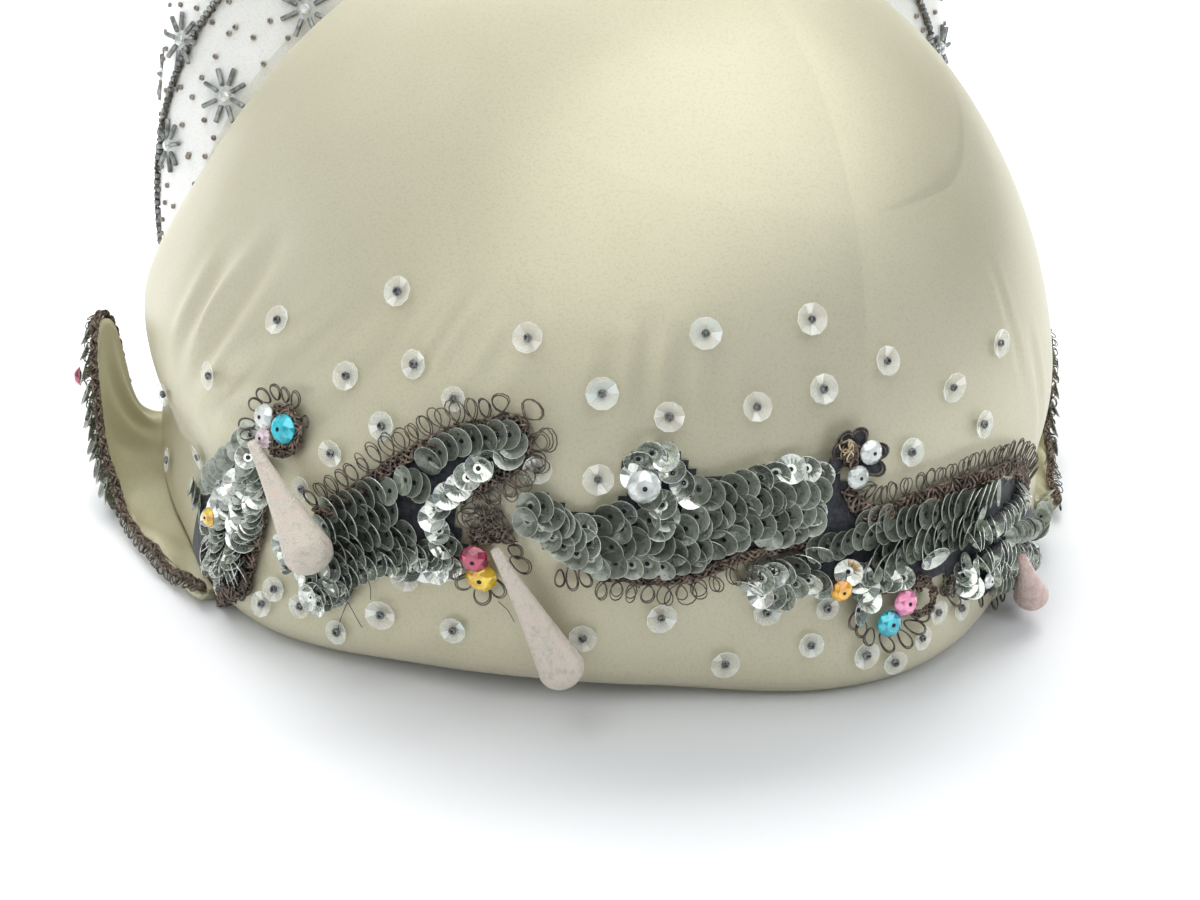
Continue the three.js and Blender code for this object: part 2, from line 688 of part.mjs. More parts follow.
// A teardrop from its sewn end to its bulb
function makeDrops() {
  for (const [name, drop] of Object.entries(DROPS)) {
    const top = crownPoint(drop.sewn.angle, drop.sewn.height, drop.sewn.out);
    const low = crownPoint(drop.bulb.angle, drop.bulb.height, drop.bulb.out);
    const reach = low.distanceTo(top);
    const profile = [new THREE.Vector2(0, 0), new THREE.Vector2(DROP_SEWN_RADIUS, 0.3)];
    for (let k = 1; k < DROP_ROWS; k += 1) {
      const share = k / DROP_ROWS;
      const widen = DROP_SEWN_RADIUS + (drop.radius - DROP_SEWN_RADIUS) * share ** 1.25;
      profile.push(new THREE.Vector2(Math.min(widen, drop.radius * 0.97), share * reach));
    }
    for (let k = 0; k < 4; k += 1) {
      const turn = (k / 4) * (Math.PI / 2);
      profile.push(new THREE.Vector2(drop.radius * Math.cos(turn), reach + drop.radius * Math.sin(turn) * 0.9));
    }
    profile.push(new THREE.Vector2(0, reach + drop.radius * 0.9));
    const geometry = new THREE.LatheGeometry(profile, DROP_SIDES);
    const mesh = addMesh(name, geometry, cloth(drop.colour, 0.45));
    mesh.position.copy(top);
    mesh.quaternion.setFromUnitVectors(new THREE.Vector3(0, 1, 0), low.sub(top).normalize());
  }
}

// A loose sequin: a shallow cup with its rim raised
function makePaillettes() {
  const { radius, thick, rise, sides } = PAILLETTE;
  const profile = [
    [0, 0],
    [radius, rise],
    [radius, rise + thick],
    [0, thick],
  ].map(([x, y]) => new THREE.Vector2(x, y));
  PAILLETTES.forEach((place, k) => {
    const geometry = new THREE.LatheGeometry(profile, sides).rotateX(Math.PI / 2);
    const material = new THREE.MeshStandardMaterial({ color: 0xdfe0d8, roughness: 0.15 });
    seat(addMesh(`paillette_${String(k + 1).padStart(2, '0')}`, geometry, material), place, CLEAR - (place.dip ?? 0));
  });
}

makeCrown();
makeHood();
makeHoodBraids();
makeFlap('flap_left', LEFT_FLAP);
makeFlap('flap_right', RIGHT_FLAP);
makeTrim();
makeRosettes();
makeStones();
makeDrops();
makePaillettes();
hat.position.set(-MIDDLE.x, -MIDDLE.y, 0);

export default hat;
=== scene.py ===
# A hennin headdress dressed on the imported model: satin, sequins, gimp, stones and beads.
# Shapes are worked out in millimetres in the crown's own frame, and written out in metres.
import math

import bmesh
import bpy
import numpy as np
from mathutils import Matrix, Vector


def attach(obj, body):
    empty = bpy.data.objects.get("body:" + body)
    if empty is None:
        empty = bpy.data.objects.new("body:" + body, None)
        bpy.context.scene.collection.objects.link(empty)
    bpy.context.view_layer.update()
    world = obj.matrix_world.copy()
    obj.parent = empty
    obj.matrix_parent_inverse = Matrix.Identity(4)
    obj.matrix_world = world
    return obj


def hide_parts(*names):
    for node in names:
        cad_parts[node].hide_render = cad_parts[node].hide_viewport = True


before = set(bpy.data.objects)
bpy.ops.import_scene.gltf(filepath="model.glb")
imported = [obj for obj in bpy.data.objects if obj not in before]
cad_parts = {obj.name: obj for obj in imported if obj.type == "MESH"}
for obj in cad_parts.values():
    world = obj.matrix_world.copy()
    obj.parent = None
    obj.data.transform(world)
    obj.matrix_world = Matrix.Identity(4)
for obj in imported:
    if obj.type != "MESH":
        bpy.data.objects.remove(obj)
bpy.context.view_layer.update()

MM = 0.001
MIDDLE = np.array([-0.6, 43.7, 0.0])  # the middle of the whole hat, in the crown's frame
RANDOM = np.random.default_rng(7)

# The photograph's camera, in the crown's frame
IMAGE = (1200, 900)
FOCAL_MM = 50.0
SENSOR_MM = 36.0
CAMERA = {"elevation": 28.042, "azimuth": -14.0, "roll": 2.958, "distance": 414.08}
TARGET = np.array([0.7, -19.0, 0.0])

# The padded crown, with the same sizes as the part's source
HALF_WIDTH = 109.0
FRONT = 123.0
BACK = 93.0
HEIGHT = 131.0
LEAN = -0.116
DRIFT = 0.035
WALL = 14.0
LIP = 6.0
INNER_LIP = 4.0
FRONT_POWER = 2.2
SEAM_Y = 30.0
SEAM_GAP = 0.3
CLOTH = 2.0
CLEAR = 0.35
WAIST = {"height": 22, "spread": 11, "front": 2, "sides": 3}
TUCK = {"size": 4, "height": 34}
SWELLS = [{"angle": 17, "size": 7, "reach": 24}, {"angle": -46, "size": 4, "reach": 20}]
LIFT = {"angle": -18, "size": 3, "reach": 28}
BULGE = {"angle": -88, "reach": 60, "height": 42, "spread": 20, "size": 4}
BROW_DEGREE = 2.05
FLOOR_CLEAR = 0.05

# The hood's rings, from the seam to the tip
# Columns: x, y, z, tilt, half width, half height
HOOD_RINGS = [
    (0, 30, 0, 0, 102, 115),
    (4, 49, 22, 9, 107, 107),
    (7, 66, 50, 20, 109, 99),
    (10, 87, 84, 36, 104, 90),
    (12, 110, 130, 49, 83, 76),
    (13, 141, 188, 56, 58, 55),
    (13, 176, 247, 59, 33, 33),
    (13, 203, 293, 60, 14, 14),
    (13, 213, 310, 60, 5, 5),
]
HOOD_POWER = 2.2
UPRIGHT_ROWS = 2.5

# The flaps: where the cloth leaves the crown, and its free edge
# Columns: angle on the crown, then the free edge's x, y, z
LEFT_FLAP = [
    (-52, -96, -75, 3),
    (-58, -104, -61, 3),
    (-66, -111.5, -43, 4),
    (-74, -116, -27, 10),
    (-81, -117.5, -18, 25),
    (-87, -116.5, -10, 36),
    (-92, -114, -2, 32),
    (-97, -112, 6, 12),
]
RIGHT_FLAP = [
    (58, 100, -66, 3),
    (64, 104.5, -54, 4),
    (71, 109, -41, 9),
    (78, 112.5, -31, 20),
    (84, 114, -23, 27),
    (90, 113.5, -11, 23),
    (97, 112, 3, 10),
]
FLAP_FOOT = 1.4
FLAP_JOIN = 2.6


# Plain mathematics

def smooth_step(value):
    t = np.clip(value, 0, 1)
    return t * t * (3 - 2 * t)


def hump(distance, reach):
    inside = np.abs(distance) < reach
    return np.where(inside, np.cos(np.pi * distance / (2 * reach)) ** 2, 0.0)


def unit(vectors):
    vectors = np.asarray(vectors, float)
    return vectors / (np.linalg.norm(vectors, axis=-1, keepdims=True) + 1e-12)


def rows_at(table, places):
    """Rows of a table at places that may lie between two rows, on a smooth curve through them."""
    rows = np.asarray(table, float)
    places = np.atleast_1d(np.asarray(places, float))
    first = np.clip(np.floor(places).astype(int), 0, len(rows) - 2)
    t = (places - first)[:, None]
    a, b, c, d = (rows[np.clip(first + k, 0, len(rows) - 1)] for k in (-1, 0, 1, 2))
    slope_b = (c - a) / 2
    slope_c = (d - b) / 2
    bend = 3 * (c - b) - 2 * slope_b - slope_c
    twist = 2 * (b - c) + slope_b + slope_c
    return b + slope_b * t + bend * t**2 + twist * t**3


def smooth_path(points, steps=12):
    """A dense smooth path through a few points."""
    count = (len(points) - 1) * steps + 1
    return rows_at(points, np.linspace(0, len(points) - 1, count))


def travel_along(path):
    """Distance travelled from the start of a path to each of its rows."""
    return np.concatenate([[0], np.cumsum(np.linalg.norm(np.diff(path, axis=0), axis=1))])


def walk(path, pitch, start=0.0):
    """Places along a path at even steps, as row numbers of the path that may lie between two rows."""
    along = travel_along(path)
    return np.interp(np.arange(start, along[-1] + 1e-9, pitch), along, np.arange(len(path)))


def pick(values, places):
    """Values of a list of rows at places between rows, in straight steps."""
    values = np.asarray(values, float)
    first = np.clip(np.floor(places).astype(int), 0, len(values) - 2)
    t = (places - first)[:, None]
    return values[first] * (1 - t) + values[first + 1] * t


def spin(x, y, turn):
    """Two directions turned about their common normal."""
    cosine = math.cos(turn)
    sine = math.sin(turn)
    return x * cosine + y * sine, y * cosine - x * sine


# The crown's surface

def plan_radius(angle, inset):
    sideways = np.abs(np.sin(np.radians(angle)))
    ahead = np.cos(np.radians(angle))
    depth = np.where(ahead > 0, FRONT, BACK) - inset
    power = np.where(ahead > 0, FRONT_POWER, 2.0)
    total = (sideways / (HALF_WIDTH - inset)) ** power + (np.abs(ahead) / depth) ** power
    return total ** (-1 / power)


def crown_surface(angle, height, inset=0.0, edge=0.0):
    angle, height = np.broadcast_arrays(np.asarray(angle, float), np.asarray(height, float))
    sideways = np.sin(np.radians(angle))
    ahead = np.cos(np.radians(angle))
    share = np.minimum(np.maximum(height, 0) / (HEIGHT - inset), 1)
    side = sideways**6
    low = 1 - smooth_step(height / 50)
    waist = WAIST["front"] + WAIST["sides"] * side
    groove = waist * np.exp(-(((height - WAIST["height"]) / WAIST["spread"]) ** 2))
    swell = sum(s["size"] * hump(angle - s["angle"], s["reach"]) for s in SWELLS) * low
    tuck = TUCK["size"] * side * (1 - smooth_step(height / TUCK["height"]))
    bulge_at = np.exp(-(((height - BULGE["height"]) / BULGE["spread"]) ** 2))
    bulge = BULGE["size"] * bulge_at * hump(angle - BULGE["angle"], BULGE["reach"])
    plain = plan_radius(angle, inset) * np.sqrt(1 - share * share)
    radius = plain - tuck - groove + swell + bulge - edge
    lift = LIFT["size"] * hump(angle - LIFT["angle"], LIFT["reach"])
    return np.stack(
        [
            radius * sideways + DRIFT * height,
            -radius * ahead + LEAN * height,
            height + lift * (1 - smooth_step(height / 40)),
        ],
        axis=-1,
    )


def lip_edge(height, radius=LIP):
    below = np.clip(radius - np.asarray(height, float), 0, radius)
    return radius - np.sqrt(radius**2 - below**2)


def crown_frame(angle, height):
    """Directions round the crown, up it and out of it."""
    around = unit(crown_surface(angle + 0.5, height) - crown_surface(angle - 0.5, height))
    upward = unit(crown_surface(angle, height + 0.5) - crown_surface(angle, height - 0.5))
    outward = unit(np.cross(around, upward))
    return around, unit(np.cross(outward, around)), outward


def bare_point(angle, height, out=0.0):
    angle = np.asarray(angle, float)
    height = np.asarray(height, float)
    base = crown_surface(angle, height, 0.0, lip_edge(height))
    return base + crown_frame(angle, height)[2] * np.asarray(out, float)[..., None]


# Soft relief of the satin: folds that run up from the trim, and faint dimples in the wadding
# Each fold goes from a low end to a high end, by angle and height
# Columns: angle, height, end angle, end height, depth, width
FOLDS = [
    (-62, 44, -57, 74, 1.5, 3.2),
    (-57.5, 40, -50, 60, 1.1, 2.6),
    (-66, 40, -66, 66, 1.0, 3.0),
    (-49, 54, -41, 72, 0.9, 2.6),
    (-52.5, 43, -47, 52, 0.8, 2.0),
    (-42, 50, -37, 66, 0.5, 2.4),
    (-33.5, 60, -29, 78, 0.55, 2.2),
    (-29.5, 62, -25.5, 76, 0.45, 1.8),
    (-24, 64, -22.5, 78, 0.4, 2.0),
    (-13.5, 56, -13, 70, 0.45, 2.0),
    (-9.5, 58, -9, 75, 0.4, 1.8),
    (-5.5, 58, -6, 72, 0.45, 2.0),
    (-1.5, 56, -2, 68, 0.35, 1.8),
    (6, 52, 7, 62, 0.3, 2.0),
    (38.5, 44, 36, 78, 0.35, 1.2),
    (44, 34, 42, 58, 0.5, 2.0),
    (-30, 8, -27, 20, 0.5, 2.4),
    (-9, 6, -8, 20, 0.4, 2.6),
]
FOLD_SOFTNESS = 0.72
DIMPLES = 90
DIMPLE_DEPTH = 0.42
DIMPLE_SPREAD = (7.0, 17.0)


def fold_lines():
    for angle, height, end_angle, end_height, depth, width in FOLDS:
        share = np.linspace(0, 1, 7)
        line = crown_surface(angle + (end_angle - angle) * share, height + (end_height - height) * share)
        yield line, depth, width


def distance_to(points, line):
    """Distance from each point to a broken line, and the share of the way along it."""
    best = np.full(len(points), 1e9)
    share = np.zeros(len(points))
    for k in range(len(line) - 1):
        step = line[k + 1] - line[k]
        t = np.clip(((points - line[k]) @ step) / (step @ step), 0, 1)
        gap = np.linalg.norm(points - (line[k] + t[:, None] * step), axis=1)
        nearer = gap < best
        best = np.where(nearer, gap, best)
        share = np.where(nearer, (k + t) / (len(line) - 1), share)
    return best, share


def dimple_places():
    random = np.random.default_rng(11)
    angle = random.uniform(-85, 85, DIMPLES)
    height = HEIGHT * np.sin(np.radians(random.uniform(14, 88, DIMPLES)))
    spread = random.uniform(*DIMPLE_SPREAD, DIMPLES)
    depth = DIMPLE_DEPTH * random.uniform(-1.0, 0.6, DIMPLES)
    return crown_surface(angle, height), spread, depth


DIMPLE_TABLE = dimple_places()
FOLD_TABLE = list(fold_lines())


def relief(points):
    """How far the satin stands out from the even dome, in millimetres."""
    flat = points.reshape(-1, 3)
    total = np.zeros(len(flat))
    for centre, spread, depth in zip(*DIMPLE_TABLE):
        gap = ((flat - centre) ** 2).sum(axis=1)
        total += depth * np.exp(-gap / (2 * spread**2))
    for line, depth, width in FOLD_TABLE:
        near = np.abs(flat - line.mean(axis=0)).max(axis=1) < 45
        gap, share = distance_to(flat[near], line)
        fade = np.sin(np.pi * np.clip(share * 0.92 + 0.04, 0, 1)) ** 0.8
        ridge = 0.9 * np.exp(-(((gap - 1.9 * width) / width) ** 2))
        total[near] += FOLD_SOFTNESS * depth * fade * (ridge - np.exp(-((gap / width) ** 2)))
    return total.reshape(points.shape[:-1])


def satin_point(angle, height, out=0.0):
    base = bare_point(angle, height)
    lifted = relief(base) + np.asarray(out, float)
    return base + crown_frame(np.asarray(angle, float), np.asarray(height, float))[2] * lifted[..., None]


# Places given by a pixel of the photograph, carried on to the crown along the camera's ray

def camera_axes():
    elevation = math.radians(CAMERA["elevation"])
    azimuth = math.radians(CAMERA["azimuth"])
    back = np.array(
        [
            math.sin(azimuth) * math.cos(elevation),
            -math.cos(azimuth) * math.cos(elevation),
            math.sin(elevation),
        ]
    )
    right = unit(np.cross([0, 0, 1], back))
    up = np.cross(back, right)
    roll = math.radians(CAMERA["roll"])
    turned = right * math.cos(roll) + up * math.sin(roll)
    return turned, np.cross(back, turned), back


CAMERA_RIGHT, CAMERA_UP, CAMERA_BACK = camera_axes()
EYE = TARGET + CAMERA_BACK * CAMERA["distance"]
FOCAL_PX = FOCAL_MM / SENSOR_MM * IMAGE[0]


def project(points):
    seen = points - EYE
    depth = -(seen @ CAMERA_BACK)
    x = IMAGE[0] / 2 + FOCAL_PX * (seen @ CAMERA_RIGHT) / depth
    y = IMAGE[1] / 2 - FOCAL_PX * (seen @ CAMERA_UP) / depth
    return np.stack([x, y], axis=-1)


def guess_grid():
    angle, height = np.meshgrid(np.arange(-86, 76, 2.0), np.arange(1, 110, 2.0))
    angle, height = angle.ravel(), height.ravel()
    points = bare_point(angle, height)
    facing = ((EYE - points) * crown_frame(angle, height)[2]).sum(axis=1) > 0
    return angle[facing], height[facing], project(points[facing])


GRID_ANGLE, GRID_HEIGHT, GRID_PIXEL = guess_grid()


def on_crown(pixels, out=0.0):
    """Angle and height of the places that show at these pixels, at a distance out of the crown."""
    pixels = np.atleast_2d(np.asarray(pixels, float))
    gaps = ((pixels[:, None, :] - GRID_PIXEL[None]) ** 2).sum(axis=2)
    nearest = gaps.argmin(axis=1)
    place = np.stack([GRID_ANGLE[nearest], GRID_HEIGHT[nearest]], axis=1)
    for _ in range(8):
        here = project(bare_point(place[:, 0], place[:, 1], out))
        by_angle = (project(bare_point(place[:, 0] + 0.1, place[:, 1], out)) - here) / 0.1
        by_height = (project(bare_point(place[:, 0], place[:, 1] + 0.1, out)) - here) / 0.1
        miss = pixels - here
        turn = by_angle[:, 0] * by_height[:, 1] - by_angle[:, 1] * by_height[:, 0]
        turn = np.where(np.abs(turn) < 1e-3, 1e-3, turn)
        step_a = (miss[:, 0] * by_height[:, 1] - miss[:, 1] * by_height[:, 0]) / turn
        step_h = (by_angle[:, 0] * miss[:, 1] - by_angle[:, 1] * miss[:, 0]) / turn
        place[:, 0] += np.clip(step_a, -4, 4)
        place[:, 1] = np.maximum(place[:, 1] + np.clip(step_h, -4, 4), 0.3)
    return place


# Meshes

def to_metres(points):
    return (np.asarray(points, float) - MIDDLE) * MM


def enter_piece(obj, nodes):
    """Links a piece to the scene and tells the frame where it belongs."""
    bpy.context.scene.collection.objects.link(obj)
    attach(obj, "root")
    if nodes:
        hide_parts(*nodes)
    return obj


def make_object(name, points, faces, materials, nodes=(), indices=None, smooth=True, tints=None):
    mesh = bpy.data.meshes.new(name)
    mesh.from_pydata(to_metres(points).tolist(), [], [list(f) for f in faces])
    for material in materials:
        mesh.materials.append(material)
    if indices is not None:
        mesh.polygons.foreach_set("material_index", np.asarray(indices, dtype=np.int32))
    mesh.polygons.foreach_set("use_smooth", np.full(len(mesh.polygons), smooth, dtype=bool))
    if tints is not None:
        layer = mesh.color_attributes.new("tint", "FLOAT_COLOR", "POINT")
        layer.data.foreach_set("color", np.asarray(tints, dtype=np.float32).ravel())
    mesh.update()
    return enter_piece(bpy.data.objects.new(name, mesh), nodes)


class Batch:
    """Many copies of small shapes, gathered into one mesh."""

    def __init__(self):
        self.points = []
        self.faces = []
        self.indices = []
        self.tints = []
        self.count = 0

    def add(self, shape, matrix, tint=(0.5, 0.5, 0.5, 1.0), material=0):
        points = shape["points"] @ matrix[:3, :3].T + matrix[:3, 3]
        self.points.append(points)
        self.faces.extend([tuple(k + self.count for k in face) for face in shape["faces"]])
        self.indices.extend([index + material for index in shape["indices"]])
        self.tints.append(np.tile(tint, (len(points), 1)))
        self.count += len(points)

    def build(self, name, materials, nodes=(), smooth=False):
        points = np.concatenate(self.points)
        points[:, 2] = np.maximum(points[:, 2], FLOOR_CLEAR)
        return make_object(
            name,
            points,
            self.faces,
            materials,
            nodes,
            self.indices,
            smooth,
            np.concatenate(self.tints),
        )


def stand(origin, x, y, z, size=1.0):
    """A matrix that puts a shape made round the origin on a place."""
    matrix = np.eye(4)
    matrix[:3, 0] = np.asarray(x) * size
    matrix[:3, 1] = np.asarray(y) * size
    matrix[:3, 2] = np.asarray(z) * size
    matrix[:3, 3] = origin
    return matrix


def lathe(profile, sides, indices=None, turn=0.0):
    """A closed shape of revolution about Z. A profile point on the axis becomes one vertex."""
    points = []
    rings = []
    for radius, z in profile:
        if radius < 1e-6:
            rings.append([len(points)])
            points.append((0, 0, z))
            continue
        ring = []
        for k in range(sides):
            angle = 2 * math.pi * (k + turn) / sides
            ring.append(len(points))
            points.append((radius * math.cos(angle), radius * math.sin(angle), z))
        rings.append(ring)
    faces = []
    kinds = []
    for row in range(len(rings) - 1):
        a, b = rings[row], rings[row + 1]
        for k in range(sides):
            nxt = (k + 1) % sides
            if len(a) == 1 and len(b) == 1:
                continue
            if len(a) == 1:
                faces.append((a[0], b[k], b[nxt]))
            elif len(b) == 1:
                faces.append((a[k], b[0], a[nxt]))
            else:
                faces.append((a[k], b[k], b[nxt], a[nxt]))
            kinds.append(indices[row] if indices else 0)
    return {"points": np.array(points, float), "faces": faces, "indices": kinds}


def closed_ring(profile, sides, indices=None, turn=0.0):
    """A ring about Z whose section is a closed outline that doesn't meet the axis."""
    shape = lathe(list(profile) + [profile[0]], sides, indices, turn)
    last = len(profile) * sides
    keep = shape["points"][:last]
    faces = [tuple(k % last if k >= last else k for k in face) for face in shape["faces"]]
    return {"points": keep, "faces": faces, "indices": shape["indices"]}


def wires(name, paths, radius, material, nodes=(), sides=1):
    """Thin round wires along many paths, as one mesh."""
    curve = bpy.data.curves.new(name + "_line", "CURVE")
    curve.dimensions = "3D"
    curve.bevel_depth = radius * MM
    curve.bevel_resolution = sides
    curve.use_fill_caps = True
    for path in paths:
        spline = curve.splines.new("POLY")
        spline.points.add(len(path) - 1)
        path = np.array(path, float)
        path[:, 2] = np.maximum(path[:, 2], radius + FLOOR_CLEAR)
        flat = np.ones((len(path), 4))
        flat[:, :3] = to_metres(path)
        spline.points.foreach_set("co", flat.ravel())
    holder = bpy.data.objects.new(name + "_line", curve)
    bpy.context.scene.collection.objects.link(holder)
    mesh = bpy.data.meshes.new_from_object(holder.evaluated_get(bpy.context.evaluated_depsgraph_get()))
    bpy.data.objects.remove(holder)
    bpy.data.curves.remove(curve)
    mesh.name = name
    mesh.materials.clear()
    mesh.materials.append(material)
    mesh.polygons.foreach_set("use_smooth", np.ones(len(mesh.polygons), dtype=bool))
    return enter_piece(bpy.data.objects.new(name, mesh), nodes)


# Materials

class Shader:
    """A small helper that makes and joins the nodes of one material."""

    def __init__(self, name):
        self.material = bpy.data.materials.new(name)
        self.material.use_nodes = True
        self.tree = self.material.node_tree
        self.bsdf = self.tree.nodes["Principled BSDF"]
        self.coords = self.node("ShaderNodeTexCoord").outputs["Object"]

    def node(self, kind, **settings):
        node = self.tree.nodes.new(kind)
        for key, value in settings.items():
            setattr(node, key, value)
        return node

    def link(self, out, socket):
        self.tree.links.new(out, socket)

    def noise(self, scale, detail=3.0, stretch=(1, 1, 1), rough=0.5):
        mapping = self.node("ShaderNodeMapping")
        mapping.inputs["Scale"].default_value = stretch
        self.link(self.coords, mapping.inputs["Vector"])
        node = self.node("ShaderNodeTexNoise")
        node.inputs["Scale"].default_value = scale
        node.inputs["Detail"].default_value = detail
        node.inputs["Roughness"].default_value = rough
        self.link(mapping.outputs["Vector"], node.inputs["Vector"])
        return node.outputs["Fac"]

    def voronoi(self, scale, output="Distance"):
        node = self.node("ShaderNodeTexVoronoi")
        node.inputs["Scale"].default_value = scale
        self.link(self.coords, node.inputs["Vector"])
        return node.outputs[output]

    def ramp(self, value, stops):
        node = self.node("ShaderNodeValToRGB")
        ramp = node.color_ramp
        while len(ramp.elements) < len(stops):
            ramp.elements.new(0.5)
        for element, (place, colour) in zip(ramp.elements, stops):
            element.position = place
            element.color = (*colour, 1.0)
        self.link(value, node.inputs["Fac"])
        return node.outputs["Color"]

    def range(self, value, low, high, from_low=0.0, from_high=1.0):
        node = self.node("ShaderNodeMapRange")
        node.inputs["From Min"].default_value = from_low
        node.inputs["From Max"].default_value = from_high
        node.inputs["To Min"].default_value = low
        node.inputs["To Max"].default_value = high
        self.link(value, node.inputs["Value"])
        return node.outputs["Result"]

    def mix(self, factor, a, b, blend="MIX"):
        node = self.node("ShaderNodeMix", data_type="RGBA", blend_type=blend)
        for value, socket in ((factor, node.inputs[0]), (a, node.inputs[6]), (b, node.inputs[7])):
            if isinstance(value, (int, float)):
                socket.default_value = value
            elif isinstance(value, tuple):
                socket.default_value = (*value, 1.0)
            else:
                self.link(value, socket)
        return node.outputs[2]

    def sum(self, a, b, operation="ADD"):
        node = self.node("ShaderNodeMath", operation=operation)
        for value, socket in ((a, node.inputs[0]), (b, node.inputs[1])):
            if isinstance(value, (int, float)):
                socket.default_value = value
            else:
                self.link(value, socket)
        return node.outputs[0]

    def bump(self, height, strength, distance_mm):
        node = self.node("ShaderNodeBump")
        node.inputs["Strength"].default_value = strength
        node.inputs["Distance"].default_value = distance_mm * MM
        self.link(height, node.inputs["Height"])
        self.link(node.outputs["Normal"], self.bsdf.inputs["Normal"])

    def tint(self):
        return self.node("ShaderNodeAttribute", attribute_name="tint").outputs["Color"]

    def set(self, **values):
        for key, value in values.items():
            socket = self.bsdf.inputs[key.replace("_", " ")]
            if hasattr(value, "node"):
                self.link(value, socket)
            elif isinstance(value, tuple):
                socket.default_value = (*value, 1.0) if len(value) == 3 else value
            else:
                socket.default_value = value
        return self


def satin(name, light, mid, dark, roughness, metal=0.0):
    """Satin: very fine threads both ways, faint cloudy ageing, and a silky gloss."""
    shader = Shader(name)
    cloud = shader.noise(16, 3)
    colour = shader.ramp(cloud, [(0.32, dark), (0.52, mid), (0.70, light)])
    threads = shader.noise(2600, 1, (1.0, 1.0, 0.5))
    weft = shader.noise(3100, 1, (0.5, 0.5, 1.0))
    grain = shader.sum(threads, weft)
    speckled = shader.ramp(grain, [(0.75, (0.86, 0.86, 0.86)), (1.25, (1.0, 1.0, 1.0))])
    shader.set(
        Base_Color=shader.mix(0.6, colour, speckled, "MULTIPLY"),
        Metallic=metal,
        Roughness=shader.range(cloud, roughness - 0.03, roughness + 0.03),
        Specular_IOR_Level=0.45,
    )
    shader.bump(grain, 0.35, 0.05)
    return shader.material


def foil(name, dark, light, roughness, metal, coat=0.4):
    """A metallised sequin: its colour follows the tint of each sequin and a faint tarnish."""
    shader = Shader(name)
    tone = shader.ramp(shader.tint(), [(0.0, dark), (1.0, light)])
    tarnish = shader.noise(900, 3)
    worn = shader.ramp(tarnish, [(0.35, (0.62, 0.62, 0.58)), (0.6, (1.0, 1.0, 1.0))])
    shader.set(
        Base_Color=shader.mix(0.7, tone, worn, "MULTIPLY"),
        Metallic=metal,
        Roughness=shader.range(tarnish, roughness, roughness + 0.14),
        Coat_Weight=coat,
        Coat_Roughness=0.08,
    )
    shader.bump(tarnish, 0.15, 0.05)
    return shader.material


def metal_thread(name, dark, light, scale=700):
    shader = Shader(name)
    grain = shader.noise(scale, 3)
    shader.set(
        Base_Color=shader.ramp(grain, [(0.35, dark), (0.66, light)]),
        Metallic=0.75,
        Roughness=shader.range(grain, 0.34, 0.6),
    )
    shader.bump(grain, 0.3, 0.08)
    return shader.material


def stone_material(name, dark, light):
    shader = Shader(name)
    depth = shader.noise(420, 2)
    shader.set(
        Base_Color=shader.ramp(depth, [(0.3, dark), (0.62, light)]),
        Metallic=0.25,
        Roughness=shader.range(depth, 0.06, 0.14),
        Coat_Weight=1.0,
        Coat_Roughness=0.03,
        Coat_IOR=1.7,
    )
    return shader.material


def clear_sequin(name, low, high, pale):
    """A clear sequin with a thin iridescent coat."""
    shader = Shader(name)
    drift = shader.noise(260, 2)
    tones = [(0.3, (0.93 * pale, 0.88 * pale, 0.86 * pale)), (0.5, (pale, pale, 0.93 * pale))]
    shader.set(
        Base_Color=shader.ramp(drift, tones + [(0.7, (0.86 * pale, 0.95 * pale, 0.92 * pale))]),
        Roughness=0.10,
        Alpha=shader.range(drift, low, high, 0.35, 0.65),
        Coat_Weight=1.0,
        Coat_Roughness=0.05,
        Thin_Film_Thickness=420.0,
        Thin_Film_IOR=1.45,
    )
    return shader.material


def grainy_pearl(name, deep, pale, speck):
    """A pearly coat over a grainy cast drop, rubbed through here and there."""
    shader = Shader(name)
    patches = shader.noise(520, 5, rough=0.75)
    grains = shader.voronoi(2600)
    colour = shader.ramp(patches, [(0.36, speck), (0.5, pale), (0.64, deep)])
    dots = shader.ramp(grains, [(0.12, (1.0, 1.0, 1.0)), (0.4, (0.80, 0.78, 0.75))])
    shader.set(
        Base_Color=shader.mix(0.6, colour, dots, "MULTIPLY"),
        Roughness=shader.range(patches, 0.38, 0.6),
        Sheen_Weight=0.1,
        Coat_Weight=0.25,
        Coat_Roughness=0.3,
        Subsurface_Weight=0.08,
        Subsurface_Scale=0.002,
    )
    shader.bump(shader.sum(grains, patches), 0.8, 0.25)
    return shader.material


def net_material(name):
    shader = Shader(name)
    grain = shader.noise(900, 2)
    shader.set(
        Base_Color=shader.ramp(grain, [(0.35, (0.010, 0.012, 0.018)), (0.65, (0.045, 0.048, 0.058))]),
        Roughness=0.85,
        Sheen_Weight=0.2,
    )
    shader.bump(grain, 0.6, 0.25)
    return shader.material


SATIN = satin(
    "satin_champagne",
    (0.575, 0.545, 0.405),
    (0.540, 0.509, 0.370),
    (0.500, 0.466, 0.330),
    0.42,
    0.42,
)
# The flaps' satin is the champagne satin again, painted with the olive tone it takes in shade: more
# saturated, with a darker dark end, as painted shade.
SHADE_TONED_SATIN = satin(
    "satin_olive_painted_shade",
    (0.640, 0.615, 0.430),
    (0.580, 0.555, 0.380),
    (0.440, 0.385, 0.260),
    0.42,
    0.20,
)
LINING = satin("lining_satin", (0.560, 0.520, 0.400), (0.520, 0.480, 0.360), (0.460, 0.420, 0.310), 0.55)
WHITE = satin("satin_white", (0.905, 0.900, 0.870), (0.885, 0.880, 0.845), (0.850, 0.843, 0.800), 0.45)
GUNMETAL = foil("sequin_gunmetal", (0.165, 0.182, 0.148), (0.480, 0.525, 0.450), 0.22, 0.50)
GUN_RIM = foil("sequin_rim", (0.42, 0.45, 0.40), (0.70, 0.74, 0.68), 0.3, 0.5)
SILVER = foil("sequin_silver", (0.36, 0.41, 0.36), (0.90, 0.93, 0.88), 0.12, 0.85, 0.8)
